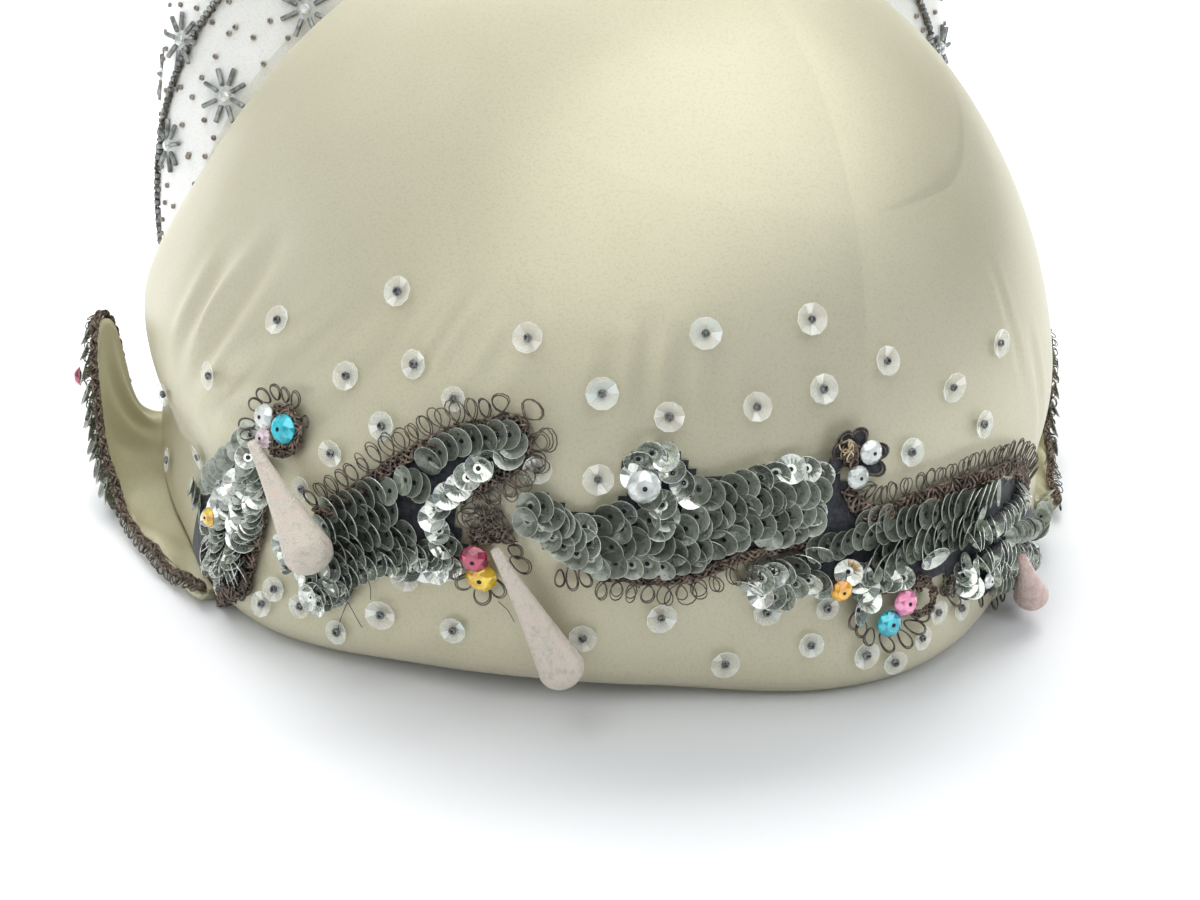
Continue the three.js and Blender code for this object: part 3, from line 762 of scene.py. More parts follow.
SILVER_RIM = foil("sequin_silver_rim", (0.62, 0.66, 0.62), (0.90, 0.92, 0.88), 0.2, 0.5)
BRONZE = metal_thread("gimp_bronze", (0.045, 0.036, 0.030), (0.270, 0.205, 0.160))
LOOP_WIRE = metal_thread("gimp_wire", (0.050, 0.044, 0.038), (0.210, 0.180, 0.145))
STEEL_BEAD = metal_thread("steel_bead", (0.040, 0.042, 0.045), (0.300, 0.310, 0.320), 2600)
STRAW = metal_thread("straw_thread", (0.330, 0.250, 0.150), (0.640, 0.540, 0.380))
THREAD = metal_thread("sewing_thread", (0.010, 0.010, 0.014), (0.050, 0.050, 0.060), 1500)
BUGLE = metal_thread("bugle_bead", (0.140, 0.150, 0.145), (0.400, 0.420, 0.405), 500)
SEED = metal_thread("seed_bead", (0.190, 0.165, 0.135), (0.420, 0.380, 0.330), 900)
NET = net_material("dark_net")
CLEAR_SEQUIN = clear_sequin("clear_sequin", 0.16, 0.34, 0.86)
# A paler, more opaque copy of the clear sequin, for the sequins' rims and, on one or two wedge facets of
# each, as a painted glint.
CLEAR_RIM_AND_GLINT = clear_sequin("clear_sequin_rim_and_glint", 0.55, 0.85, 0.98)
IVORY = grainy_pearl("drop_ivory", (0.560, 0.510, 0.430), (0.700, 0.640, 0.560), (0.740, 0.600, 0.520))
PINK_PEARL = grainy_pearl("drop_pink", (0.600, 0.430, 0.390), (0.720, 0.540, 0.500), (0.780, 0.640, 0.600))
STONE_COLOURS = {
    "turquoise": ((0.000, 0.240, 0.330), (0.020, 0.620, 0.740)),
    "clear": ((0.380, 0.420, 0.400), (0.800, 0.830, 0.800)),
    "rose": ((0.360, 0.240, 0.300), (0.700, 0.560, 0.600)),
    "red": ((0.140, 0.004, 0.020), (0.460, 0.030, 0.090)),
    "yellow": ((0.560, 0.270, 0.000), (0.930, 0.660, 0.030)),
    "orange": ((0.600, 0.230, 0.000), (0.950, 0.520, 0.040)),
    "pink": ((0.560, 0.100, 0.240), (0.900, 0.320, 0.520)),
}
STONE_MATERIALS = {name: stone_material("stone_" + name, *pair) for name, pair in STONE_COLOURS.items()}


# The padded crown

CROWN_SIDES = 400
CROWN_LEVELS = 120


def crown_rings():
    """Rings of the crown's skin, from the top of the lining round the rim to the top of the dome."""
    lining_top = HEIGHT - WALL
    for k in range(14, 0, -1):
        start = math.asin(INNER_LIP / lining_top)
        turn = start + (math.pi / 2 - start) * k / 14
        yield lining_top * math.sin(turn), WALL, 0.0, False
    for k in range(5):
        turn = math.pi / 2 * (1 - k / 5)
        yield INNER_LIP * (1 - math.cos(turn)), WALL, -INNER_LIP * (1 - math.sin(turn)), False
    yield 0.0, WALL, -INNER_LIP, False
    for k in range(9):
        turn = math.pi / 2 * k / 9
        yield LIP * (1 - math.cos(turn)), 0.0, LIP * (1 - math.sin(turn)), True
    start = math.asin(LIP / HEIGHT)
    for k in range(CROWN_LEVELS):
        turn = start + (math.pi / 2 - start) * k / CROWN_LEVELS
        yield HEIGHT * math.sin(turn), 0.0, 0.0, True


def make_crown():
    angle = np.arange(CROWN_SIDES) * 360 / CROWN_SIDES - 180
    rings = []
    for height, inset, edge, outside in crown_rings():
        ring = crown_surface(angle, np.full(CROWN_SIDES, height), inset, edge)
        if outside:
            ring = ring + crown_frame(angle, np.full(CROWN_SIDES, height))[2] * relief(ring)[:, None]
            ring[:, 2] = np.maximum(ring[:, 2], 0.0)
        rings.append(ring)
    top = crown_surface(0.0, HEIGHT)
    top[2] += relief(top[None])[0]
    points = np.concatenate([np.array([[0.0, LEAN * HEIGHT, HEIGHT - WALL]]), *rings, top[None]])
    faces = []
    for k in range(CROWN_SIDES):
        nxt = (k + 1) % CROWN_SIDES
        faces.append((0, 1 + k, 1 + nxt))
        for row in range(len(rings) - 1):
            a = 1 + row * CROWN_SIDES
            b = a + CROWN_SIDES
            faces.append((a + k, b + k, b + nxt, a + nxt))
        last = 1 + (len(rings) - 1) * CROWN_SIDES
        faces.append((last + k, len(points) - 1, last + nxt))
    obj = make_object("crown_satin", points, faces, [SATIN, LINING], ["crown"])
    cut_away(obj, to_metres([0, SEAM_Y, 0]), (0, 1, 0))
    for face in obj.data.polygons:
        face.material_index = 1 if face.normal.z < -0.2 and face.center.z > 0.004 else 0


def edit_mesh(obj, change):
    """Runs a change on a piece's mesh and turns its faces outward."""
    bm = bmesh.new()
    bm.from_mesh(obj.data)
    change(bm)
    bmesh.ops.recalc_face_normals(bm, faces=bm.faces[:])
    bm.to_mesh(obj.data)
    bm.free()


def cut_away(obj, place, beyond):
    """Cuts off what lies beyond a plane, by a place on it in metres, and closes the cut."""

    def change(bm):
        bmesh.ops.bisect_plane(
            bm,
            geom=bm.verts[:] + bm.edges[:] + bm.faces[:],
            plane_co=Vector(place),
            plane_no=Vector(beyond),
            clear_outer=True,
        )
        rim = [edge for edge in bm.edges if edge.is_boundary]
        bmesh.ops.triangle_fill(bm, use_beauty=True, edges=rim)

    edit_mesh(obj, change)


# The white hood and cone

HOOD_SIDES = 180
HOOD_STEPS = 150
HOOD_LEAD = 6.0


def hood_point(place, turn, inset=0.0):
    place, turn = np.broadcast_arrays(np.asarray(place, float), np.asarray(turn, float))
    ring = rows_at(HOOD_RINGS, place.ravel()).reshape(place.shape + (6,))
    x, y, z, tilt, half_width, half_height = np.moveaxis(ring, -1, 0)
    cosine = np.cos(np.radians(turn))
    sine = np.sin(np.radians(turn))
    power = 2 / HOOD_POWER
    across = np.sign(cosine) * np.abs(cosine) ** power * (half_width - inset)
    above = np.sign(sine) * np.abs(sine) ** power * (half_height - inset)
    lean = np.radians(tilt)
    behind = inset * (1 - smooth_step((place - 1) / UPRIGHT_ROWS))
    return np.stack([x + across, y + behind - above * np.sin(lean), z + above * np.cos(lean)], axis=-1)


def hood_frame(place, turn):
    place = np.asarray(place, float)
    turn = np.asarray(turn, float)
    around = unit(hood_point(place, turn + 1) - hood_point(place, turn - 1))
    onward = unit(hood_point(place + 0.05, turn) - hood_point(place - 0.05, turn))
    outward = unit(np.cross(onward, around))
    return around, unit(np.cross(outward, around)), outward


def hood_relief(points):
    """Shallow waves of the white satin over its stiff base."""
    x, y, z = np.moveaxis(points, -1, 0)
    wave = np.sin(x / 17 + z / 40) * np.sin(z / 23 + y / 31) + 0.5 * np.sin(x / 9 - z / 13)
    return 0.35 * wave


def make_hood():
    turn = np.arange(HOOD_SIDES) * 360 / HOOD_SIDES
    rings = []
    for k in range(HOOD_STEPS, -1, -1):
        place = (len(HOOD_RINGS) - 1.6) * k / HOOD_STEPS
        if k % 3 == 0:
            rings.append(hood_point(np.full(HOOD_SIDES, place), turn, CLOTH))
    rings.append(rings[-1] - [0, HOOD_LEAD, 0])
    rings.append(hood_point(np.zeros(HOOD_SIDES), turn) - [0, HOOD_LEAD, 0])
    for k in range(HOOD_STEPS + 1):
        place = (len(HOOD_RINGS) - 1) * k / HOOD_STEPS
        ring = hood_point(np.full(HOOD_SIDES, place), turn)
        outward = hood_frame(np.full(HOOD_SIDES, place), turn)[2]
        rings.append(ring + outward * (hood_relief(ring) * min(1.0, 3 * place))[:, None])
    points = np.concatenate([rings[0].mean(axis=0)[None], *rings, rings[-1].mean(axis=0)[None]])
    faces = []
    for k in range(HOOD_SIDES):
        nxt = (k + 1) % HOOD_SIDES
        faces.append((0, 1 + nxt, 1 + k))
        for row in range(len(rings) - 1):
            a = 1 + row * HOOD_SIDES
            b = a + HOOD_SIDES
            faces.append((a + k, a + nxt, b + nxt, b + k))
        last = 1 + (len(rings) - 1) * HOOD_SIDES
        faces.append((last + k, last + nxt, len(points) - 1))
    obj = make_object("cone_satin", points, faces, [WHITE], ["cone"])
    cut_away(obj, to_metres([0, SEAM_Y + SEAM_GAP, 0]), (0, -1, 0))
    cut_away(obj, (0, 0, 0), (0, 0, -1))


# Small shapes

def cup_sequin(radius=2.9, hole=0.42, depth=0.85, sides=16):
    """A cup sequin: a flat floor with a hole, sloping facets, and a pale cut rim."""
    thick = 0.12
    profile = [
        (hole, 0.0),
        (radius * 0.36, 0.02),
        (radius * 0.97, depth),
        (radius, depth + 0.02),
        (radius, depth - thick),
        (radius * 0.36, -thick),
        (hole, -thick),
    ]
    return closed_ring(profile, sides, [0, 0, 1, 1, 0, 0, 0])


def round_bead(radius, hole, height, sides=10):
    """A small bead with a hole along Z."""
    section = []
    middle = (radius + hole) / 2
    for k in range(6):
        turn = 2 * math.pi * k / 6
        section.append(
            (middle + (radius - hole) / 2 * math.cos(turn), height * (0.5 + 0.5 * math.sin(turn))),
        ),
    return closed_ring(section, sides)


def tube_bead(radius, length, sides=8):
    """A bugle bead along X, with a small step at each end."""
    profile = [
        (0.0, -length / 2),
        (radius * 0.8, -length / 2),
        (radius, -length / 2 + 0.15),
        (radius, length / 2 - 0.15),
        (radius * 0.8, length / 2),
        (0.0, length / 2),
    ]
    shape = lathe(profile, sides)
    shape["points"] = shape["points"][:, [2, 0, 1]]
    return shape


def cut_gem(radius):
    """A brilliant: eight-sided table, star and kite facets, girdle and a flat foiled back."""
    bm = bmesh.new()
    levels = [
        (0.56, 0.72, 8, 0.0),
        (0.84, 0.50, 8, 0.5),
        (1.00, 0.24, 16, 0.0),
        (1.00, 0.14, 16, 0.0),
        (0.45, 0.0, 8, 0.0),
    ]
    for share, z, count, turn in levels:
        for k in range(count):
            angle = 2 * math.pi * (k + turn) / count
            bm.verts.new((share * radius * math.cos(angle), share * radius * math.sin(angle), z * radius))
    bmesh.ops.convex_hull(bm, input=bm.verts[:])
    bmesh.ops.dissolve_limit(bm, angle_limit=0.01, verts=bm.verts[:], edges=bm.edges[:])
    bm.verts.index_update()
    points = np.array([v.co[:] for v in bm.verts])
    faces = [tuple(v.index for v in face.verts) for face in bm.faces]
    bm.free()
    return {"points": points, "faces": faces, "indices": [0] * len(faces)}


def random_tint(low, high):
    value = RANDOM.uniform(low, high)
    return (value, value, value, 1.0)


def sequin_line(tone, pitch, tilt, size, pixels):
    """A line of sequins by pixels of the photograph: tilt is how far each stands on edge, in degrees."""
    return {"tone": tone, "pitch": pitch, "tilt": tilt, "size": size, "px": pixels}


SEQUIN_LINES = {
    # the boot-shaped motif on the left
    "leaf_left": [
        sequin_line("gun", 2.3, 16, 0.9, [(247, 436), (232, 452), (217, 468), (205, 486)]),
        sequin_line("gun", 2.4, 14, 0.85, [(190, 487), (196, 500), (203, 517), (205, 532)]),
        sequin_line("silver", 1.6, 40, 0.9, [(247, 458), (245, 480), (240, 505)]),
        sequin_line("silver", 1.7, 36, 0.92, [(258, 472), (257, 495), (252, 520), (243, 545)]),
        sequin_line("silver", 1.7, 36, 0.92, [(236, 484), (228, 504), (222, 525), (219, 548), (222, 570)]),
        sequin_line("silver", 1.7, 34, 0.95, [(243, 505), (238, 528), (234, 550), (236, 572)]),
        sequin_line("silver", 1.9, 34, 0.85, [(218, 500), (212, 520), (210, 545), (214, 566)]),
        sequin_line("silver", 1.8, 36, 0.88, [(206, 556), (216, 568), (230, 576), (244, 570)]),
    ],
    # the leaf to the right of it
    "leaf_mid": [
        sequin_line("gun", 2.3, 24, 1.0, [
            (428, 458), (447, 447), (468, 443), (490, 438), (508, 434), (514, 446), (506, 460),
        ]),
        sequin_line("gun", 1.7, 28, 1.0, [(405, 480), (417, 486), (428, 494)]),
        sequin_line("gun", 2.3, 24, 1.0, [(330, 508), (345, 505), (362, 497), (378, 490), (392, 488)]),
        sequin_line("gun", 2.4, 25, 1.0, [(322, 527), (340, 528), (358, 520), (375, 514), (393, 512)]),
        sequin_line("gun", 2.4, 24, 1.0, [
            (318, 548), (334, 550), (352, 543), (370, 535), (390, 536), (408, 532),
        ]),
        sequin_line("gun", 2.4, 20, 0.95, [(322, 566), (338, 566), (355, 556), (372, 552)]),
        sequin_line("gun", 2.5, 20, 1.0, [(385, 552), (402, 548), (420, 556), (438, 553), (455, 545)]),
        sequin_line("silver", 2.5, 16, 1.0, [(398, 566), (415, 570), (432, 572), (448, 566)]),
    ],
    "leaf_mid_border": [
        sequin_line("silver", 2.7, 20, 0.95, [
            (478, 470), (462, 482), (451, 494), (440, 506), (431, 519), (434, 532), (443, 545),
            (456, 552),
        ]),
        sequin_line("silver", 2.6, 18, 0.9, [(478, 468), (488, 462), (500, 457)]),
        sequin_line("silver", 2.3, 14, 0.85, [(280, 545), (289, 560), (300, 575), (312, 586)]),
        sequin_line("silver", 2.3, 16, 0.95, [
            (308, 596), (322, 592), (338, 583), (354, 573), (372, 568), (392, 562), (412, 558),
            (432, 562), (448, 558),
        ]),
        sequin_line("silver", 2.2, 14, 0.85, [(316, 602), (330, 598), (346, 590)]),
    ],
    # the long band across the brow
    "band_mid": [
        sequin_line("gun", 2.3, 26, 1.0, [(530, 506), (543, 508), (552, 517), (566, 522)]),
        sequin_line("gun", 2.7, 24, 0.95, [
            (527, 522), (540, 527), (552, 538), (566, 547), (580, 554), (594, 560),
        ]),
        sequin_line("mixed", 2.6, 24, 1.0, [
            (556, 524), (570, 528), (585, 530), (600, 524), (616, 516), (630, 512),
        ]),
        sequin_line("mixed", 2.8, 24, 1.0, [(574, 540), (590, 543), (604, 540)]),
        sequin_line("gun", 2.9, 28, 0.98, [
            (600, 566), (618, 566), (636, 566), (654, 567), (672, 567), (690, 563), (706, 556),
        ]),
        sequin_line("gun", 2.5, 34, 1.0, [
            (612, 548), (626, 544), (642, 540), (658, 541), (672, 552), (688, 549), (706, 546),
        ]),
        sequin_line("gun", 2.6, 30, 1.0, [
            (622, 530), (638, 526), (654, 522), (668, 534), (684, 530), (700, 528), (716, 524),
        ]),
        sequin_line("gun", 2.5, 32, 1.0, [(700, 553), (716, 547), (732, 541), (748, 535)]),
        sequin_line("gun", 2.4, 34, 1.0, [
            (698, 519), (714, 515), (730, 511), (746, 506), (762, 502), (778, 498),
        ]),
        sequin_line("gun", 2.5, 34, 1.0, [
            (738, 528), (754, 524), (770, 521), (786, 517), (802, 514), (814, 520),
        ]),
        sequin_line("gun", 2.5, 34, 0.95, [(770, 538), (784, 534), (798, 530)]),
        sequin_line("gun", 2.3, 30, 1.0, [(700, 492), (716, 492), (730, 490), (744, 484), (758, 478)]),
        sequin_line("silver", 3.0, 24, 1.02, [(762, 478), (776, 474), (790, 470), (806, 471), (824, 478)]),
        sequin_line("gun", 2.3, 36, 1.0, [(760, 498), (776, 496), (792, 494), (808, 492), (820, 490)]),
        sequin_line("silver", 2.6, 22, 1.0, [(814, 512), (824, 514)]),
    ],
    "cluster_mid": [
        sequin_line("silver", 2.7, 22, 1.0, [(640, 462), (652, 454), (664, 456), (674, 464)]),
        sequin_line("silver", 2.8, 24, 0.95, [(674, 474), (682, 482), (690, 488), (688, 500)]),
        sequin_line("mixed", 2.8, 24, 1.0, [(650, 500), (662, 505), (668, 512), (662, 524)]),
        sequin_line("silver", 2.8, 26, 0.9, [(634, 478), (646, 480), (658, 490)]),
    ],
    # the long leaf on the right
    "leaf_right": [
        sequin_line("mixed", 2.3, 38, 1.0, [
            (752, 586), (766, 578), (780, 572), (796, 566), (812, 556), (826, 548),
        ]),
        sequin_line("gun", 2.1, -20, 0.98, [(818, 552), (832, 546), (846, 541), (860, 535)]),
        sequin_line("gun", 2.2, -20, 1.05, [
            (872, 534), (888, 527), (904, 521), (920, 517), (936, 512), (952, 506), (968, 501),
            (984, 496), (1000, 492),
        ]),
        sequin_line("gun", 2.3, -20, 0.95, [
            (880, 556), (894, 548), (908, 542), (924, 536), (940, 531), (956, 526), (972, 519),
            (986, 513),
        ]),
        sequin_line("gun", 2.3, -16, 0.95, [(912, 552), (928, 546), (946, 541), (962, 536), (976, 530)]),
        sequin_line("gun", 2.3, -16, 0.9, [(866, 524), (880, 520), (894, 514)]),
        sequin_line("gun", 2.4, -30, 1.0, [(868, 566), (882, 566), (896, 562), (908, 556)]),
    ],
    "leaf_right_border": [
        sequin_line("silver", 1.5, 52, 0.85, [(1022, 490), (1018, 502), (1010, 512), (1000, 522)]),
        sequin_line("silver", 1.5, 52, 0.9, [(1002, 520), (990, 528), (978, 537), (966, 545)]),
    ],
    "cluster_right": [
        sequin_line("silver", 1.6, 50, 0.95, [
            (1034, 553), (1018, 552), (1002, 554), (986, 558), (974, 566),
        ]),
        sequin_line("silver", 1.7, 44, 0.9, [(1026, 564), (1010, 566), (996, 570), (984, 578)]),
        sequin_line("silver", 2.0, 34, 0.95, [(966, 566), (964, 580), (972, 590)]),
        sequin_line("gun", 2.0, 50, 0.8, [(1016, 576), (1002, 582), (990, 588)]),
    ],
    "cluster_low": [
        sequin_line("silver", 2.4, 34, 0.95, [(762, 596), (778, 598), (794, 594)]),
        sequin_line("silver", 2.4, 30, 1.0, [(796, 584), (812, 582), (824, 584)]),
        sequin_line("silver", 2.7, 28, 1.0, [(850, 572), (862, 582), (868, 596), (862, 608), (852, 614)]),
        sequin_line("silver", 2.4, 48, 0.9, [(870, 576), (884, 580), (896, 586)]),
        sequin_line("silver", 2.9, 18, 1.05, [(934, 559), (922, 548)]),
        sequin_line("silver", 2.6, 44, 0.85, [(904, 578), (914, 572)]),
    ],
    "strip_side": [
        sequin_line("gun", 1.8, 52, 0.85, [(1004, 536), (1014, 532), (1024, 530), (1034, 526)]),
        sequin_line("gun", 2.0, 46, 0.85, [(1036, 530), (1042, 520), (1046, 508), (1050, 496)]),
    ],
}
STACK_RISE = 0.55
SEQUIN_BASE = 0.9


def sew_sequins():
    shape = cup_sequin()
    knot = round_bead(0.5, 0.1, 0.35, 6)
    for node, lines in SEQUIN_LINES.items():
        batch = Batch()
        for line in lines:
            path = smooth_path(on_crown(line["px"], 2.0), 16)
            points = bare_point(path[:, 0], path[:, 1])
            places = walk(points, line["pitch"])
            spots = pick(path, places)
            before = bare_point(*pick(path, np.maximum(places - 0.5, 0)).T)
            after = bare_point(*pick(path, np.minimum(places + 0.5, len(path) - 1)).T)
            heading = unit(after - before)
            outward = crown_frame(spots[:, 0], spots[:, 1])[2]
            base = satin_point(spots[:, 0], spots[:, 1], SEQUIN_BASE)
            for k in range(len(spots)):
                add_sequin(batch, shape, knot, line, base[k], heading[k], outward[k])
        if batch.count:
            materials = [GUNMETAL, GUN_RIM, SILVER, SILVER_RIM, THREAD]
            batch.build(node + "_sequins", materials, [node])


def add_sequin(batch, shape, knot, line, base, heading, outward):
    silver = line["tone"] == "silver" or (line["tone"] == "mixed" and RANDOM.random() < 0.45)
    side = unit(np.cross(outward, heading))
    tilt = math.radians(line["tilt"] + RANDOM.normal(0, 9 if silver else 5))
    lean = math.radians(RANDOM.normal(0, 15 if silver else 8))
    z = unit(outward * math.cos(tilt) - heading * math.sin(tilt) + side * math.sin(lean))
    y = unit(np.cross(z, heading))
    x = np.cross(y, z)
    size = line["size"] * RANDOM.uniform(0.94, 1.05)
    rise = 3.0 * size * abs(math.sin(tilt)) * STACK_RISE
    spot = base + outward * rise + side * RANDOM.normal(0, 0.25)
    turn = RANDOM.uniform(0, 2 * math.pi)
    x, y = spin(x, y, turn)
    tint = random_tint(0.25, 1.0) if silver else random_tint(0.0, 0.9)
    batch.add(shape, stand(spot, x, y, z, size), tint, 2 if silver else 0)
    batch.add(knot, stand(spot - z * 0.1, x, y, z), tint, 4)


# Dark net that the sequins are sewn on

NET_PATCHES = {
    "leaf_left_net": [
        (252, 440), (240, 452), (222, 470), (205, 492), (198, 520), (206, 560), (222, 582), (244, 578),
        (258, 545), (262, 500), (262, 462),
    ],
    "leaf_mid_net": [
        (318, 512), (345, 494), (372, 480), (398, 464), (425, 446), (455, 436), (490, 428), (520, 424),
        (526, 446), (512, 474), (480, 484), (462, 500), (452, 520), (470, 548), (456, 566), (420, 574),
        (385, 574), (352, 584), (320, 598), (306, 580), (300, 548),
    ],
    "band_net": [
        (522, 500), (545, 494), (570, 512), (602, 510), (628, 494), (624, 462), (640, 448), (670, 446),
        (690, 470), (720, 482), (756, 470), (800, 460), (832, 466), (846, 490), (880, 512), (930, 498),
        (1000, 478), (1028, 482), (1024, 506), (1046, 512), (1044, 540), (1030, 566), (996, 592),
        (964, 588), (940, 572), (908, 588), (868, 600), (846, 584), (800, 590), (760, 596), (752, 584),
        (790, 562), (824, 542), (800, 540), (756, 546), (700, 566), (650, 576), (600, 572), (566, 556),
        (528, 534),
    ],
}
NET_SPACING = 1.6


def inside_outline(points, outline):
    inside = np.zeros(len(points), dtype=bool)
    ends = np.roll(outline, -1, axis=0)
    for (x0, y0), (x1, y1) in zip(outline, ends):
        crosses = (y0 > points[:, 1]) != (y1 > points[:, 1])
        slope = (x1 - x0) / (y1 - y0 + 1e-12)
        inside ^= crosses & (points[:, 0] < x0 + slope * (points[:, 1] - y0))
    return inside


def make_nets():
    for name, pixels in NET_PATCHES.items():
        outline = on_crown(pixels) * [BROW_DEGREE, 1.0]
        low, high = outline.min(axis=0), outline.max(axis=0)
        columns = np.arange(low[0], high[0] + NET_SPACING, NET_SPACING)
        rows = np.arange(low[1], high[1] + NET_SPACING, NET_SPACING)
        across, up = np.meshgrid(columns, rows)
        flat = np.stack([across.ravel(), up.ravel()], axis=1)
        points = satin_point(flat[:, 0] / BROW_DEGREE, flat[:, 1], 0.45)
        under = satin_point(flat[:, 0] / BROW_DEGREE, flat[:, 1], -0.4)
        count = len(points)
        faces = []
        wide = len(columns)
        for row in range(len(rows) - 1):
            for column in range(wide - 1):
                a = row * wide + column
                middle = (flat[a] + flat[a + wide + 1]) / 2
                if inside_outline(middle[None], outline)[0]:
                    faces.append((a, a + 1, a + wide + 1, a + wide))
                    faces.append((a + count, a + wide + count, a + wide + 1 + count, a + 1 + count))
        obj = make_object(name, np.concatenate([points, under]), faces, [NET])
        bm = bmesh.new()
        bm.from_mesh(obj.data)
        bmesh.ops.delete(bm, geom=[v for v in bm.verts if not v.link_faces], context="VERTS")
        bm.to_mesh(obj.data)
        bm.free()


# Gimp: a plaited cord of bronze wires with picot loops along its sides

GIMPS = {
    "gimp_left": {
        "px": [(262, 488), (262, 510), (258, 535), (252, 556), (246, 578), (238, 590), (226, 592)],
        "loops": 0,
        "wide": 1.7,
    },
    "gimp_mid": {
        "px": [
            (318, 514), (345, 498), (372, 480), (400, 460), (428, 446), (455, 432), (485, 426),
            (512, 420), (526, 434), (520, 458), (508, 470), (492, 480), (474, 490),
        ],
        "loops": 1,
        "wide": 1.2,
    },
    "gimp_knot": {"px": [(470, 538), (484, 536), (500, 536), (514, 534)], "loops": 0, "wide": 1.3},
    "gimp_low": {
        "px": [
            (596, 574), (626, 577), (656, 580), (686, 578), (712, 569), (736, 558), (760, 552),
            (786, 546), (812, 538),
        ],
        "loops": -1,
        "wide": 0.9,
    },
    "gimp_right": {
        "px": [
            (848, 488), (852, 500), (864, 510), (882, 512), (902, 504), (924, 496), (946, 488),
            (968, 480), (992, 472), (1014, 466), (1022, 476), (1024, 492),
        ],
        "loops": 1,
        "wide": 1.5,
    },
}
WIRE = 0.13


def along_crown(pixels, out, pitch, steps=16):
    """Even places along a line of pixels: centre points, directions along, sideways and out."""
    path = smooth_path(on_crown(pixels, out), steps)
    spots = pick(path, walk(bare_point(path[:, 0], path[:, 1]), pitch))
    points = satin_point(spots[:, 0], spots[:, 1], out)
    outward = crown_frame(spots[:, 0], spots[:, 1])[2]
    return along_line(points, outward)


def along_line(points, outward):
    heading = unit(np.gradient(points, axis=0))
    side = unit(np.cross(outward, heading))
    return points, heading, side, unit(np.cross(heading, side))


def plait(line, half_width, pitch=2.6, strands=6, radius=0.27):
    """Strands that weave from side to side, as a narrow braid does."""
    points, _, side, outward = line
    travel = travel_along(points)
    paths = []
    for k in range(strands):
        phase = 2 * math.pi * k / strands
        turn = 2 * math.pi * travel / pitch + phase
        across = half_width * np.sin(turn / 2 + phase)
        above = 0.5 + 0.42 * np.cos(turn) + RANDOM.normal(0, 0.05, len(travel))
        paths.append(points + side * across[:, None] + outward * above[:, None])
    return paths, radius


def picots(line, half_width, way, pitch=2.9, reach=4.3, lift=0.7):
    """A running row of small loops along one side of a line, of two wires that part a little."""
    points, _, side, outward = line
    travel = travel_along(points)
    count = int(travel[-1] / pitch)
    paths = []
    for wire in range(2):
        share = np.linspace(0, count, count * 14 + 1)
        wobble = np.interp(share, np.arange(count + 1), RANDOM.normal(0, 0.16, count + 1))
        taller = np.interp(share, np.arange(count + 1), RANDOM.uniform(0.8, 1.15, count + 1))
        turn = 2 * math.pi * share
        place = (share + wobble + 0.60 * np.sin(turn)) * pitch
        out = half_width + reach * taller * (0.5 - 0.5 * np.cos(turn)) - 0.4 + 0.3 * wire
        place = np.clip(place + 0.25 * wire, 0, travel[-1])
        rows = np.interp(place, travel, np.arange(len(travel)))
        height = lift * (0.5 - 0.5 * np.cos(turn)) + 0.35 + 0.25 * wire + 0.15 * np.sin(3 * share)
        paths.append(
            pick(points, rows)
            + pick(side, rows) * (out * way)[:, None]
            + pick(outward, rows) * height[:, None]
        )
    return paths


def petal(centre, heading, side, outward, length, width, lift=0.8, steps=20, wires_each=2):
    """An oval loop of wire that starts and ends at its centre."""
    paths = []
    for wire in range(wires_each):
        turn = np.linspace(0, 2 * math.pi, steps)
        shrink = 1 - 0.1 * wire
        ahead = length * shrink * (0.5 - 0.5 * np.cos(turn))
        across = width * shrink * 0.5 * np.sin(turn) * (0.55 + 0.45 * ahead / length)
        above = 0.4 + lift * ahead / length + 0.25 * wire
        path = centre + heading * ahead[:, None] + side * across[:, None] + outward * above[:, None]
        paths.append(path)
    return paths


def make_gimps():
    for name, gimp in GIMPS.items():
        line = along_crown(gimp["px"], 0.6, 0.3)
        strands, radius = plait(line, gimp["wide"])
        wires(name + "_plait", strands, radius, BRONZE, [name])
        fuzz = [path + RANDOM.normal(0, 0.3, path.shape) for path in strands[:2]]
        wires(name + "_wire", fuzz, WIRE, LOOP_WIRE)
        if gimp["loops"]:
            wires(
                name + "_picots",
                picots(line, gimp["wide"], gimp["loops"]),
                WIRE,
                LOOP_WIRE,
            ),


# Loose loops of wire, by the pixels of each loop's foot and tip, and its width in millimetres
LOOPS = {
    "loops_left": [
        ((262, 408), (250, 402), 3.2), ((268, 402), (260, 390), 3.2), ((276, 400), (276, 384), 3.4),
        ((284, 402), (290, 388), 3.2), ((292, 408), (302, 392), 3.2), ((256, 424), (242, 424), 3.0),
        ((258, 432), (243, 436), 2.8), ((300, 424), (312, 420), 3.0),
        ((238, 590), (232, 602), 2.6), ((230, 590), (222, 600), 2.4), ((244, 588), (246, 600), 2.4),
    ],
    "loops_mid": [
        ((526, 446), (550, 438), 4.4), ((522, 460), (546, 466), 4.0), ((512, 470), (528, 484), 4.0),
        ((502, 478), (514, 494), 3.8), ((488, 484), (498, 500), 3.6), ((476, 492), (482, 508), 3.4),
    ],
    "loops_yellow": [
        ((478, 574), (458, 584), 3.8), ((482, 580), (484, 602), 4.2), ((490, 578), (505, 594), 3.8),
        ((472, 568), (452, 574), 3.2), ((508, 548), (524, 552), 3.6), ((510, 558), (532, 568), 4.0),
    ],
    "loops_low": [
        ((560, 570), (560, 584), 2.4), ((570, 566), (574, 588), 2.8), ((580, 570), (590, 584), 2.8),
    ],
    "loops_pink": [
        ((856, 612), (850, 628), 3.0), ((862, 618), (858, 636), 3.2), ((872, 628), (864, 644), 3.2),
        ((880, 634), (890, 650), 3.0), ((898, 630), (908, 646), 3.0), ((904, 622), (922, 630), 3.2),
        ((912, 614), (926, 616), 3.0), ((946, 590), (956, 604), 2.8), ((952, 586), (966, 596), 2.8),
        ((980, 592), (976, 606), 2.8), ((990, 592), (992, 606), 2.8), ((1000, 588), (1006, 600), 2.6),
    ],
}
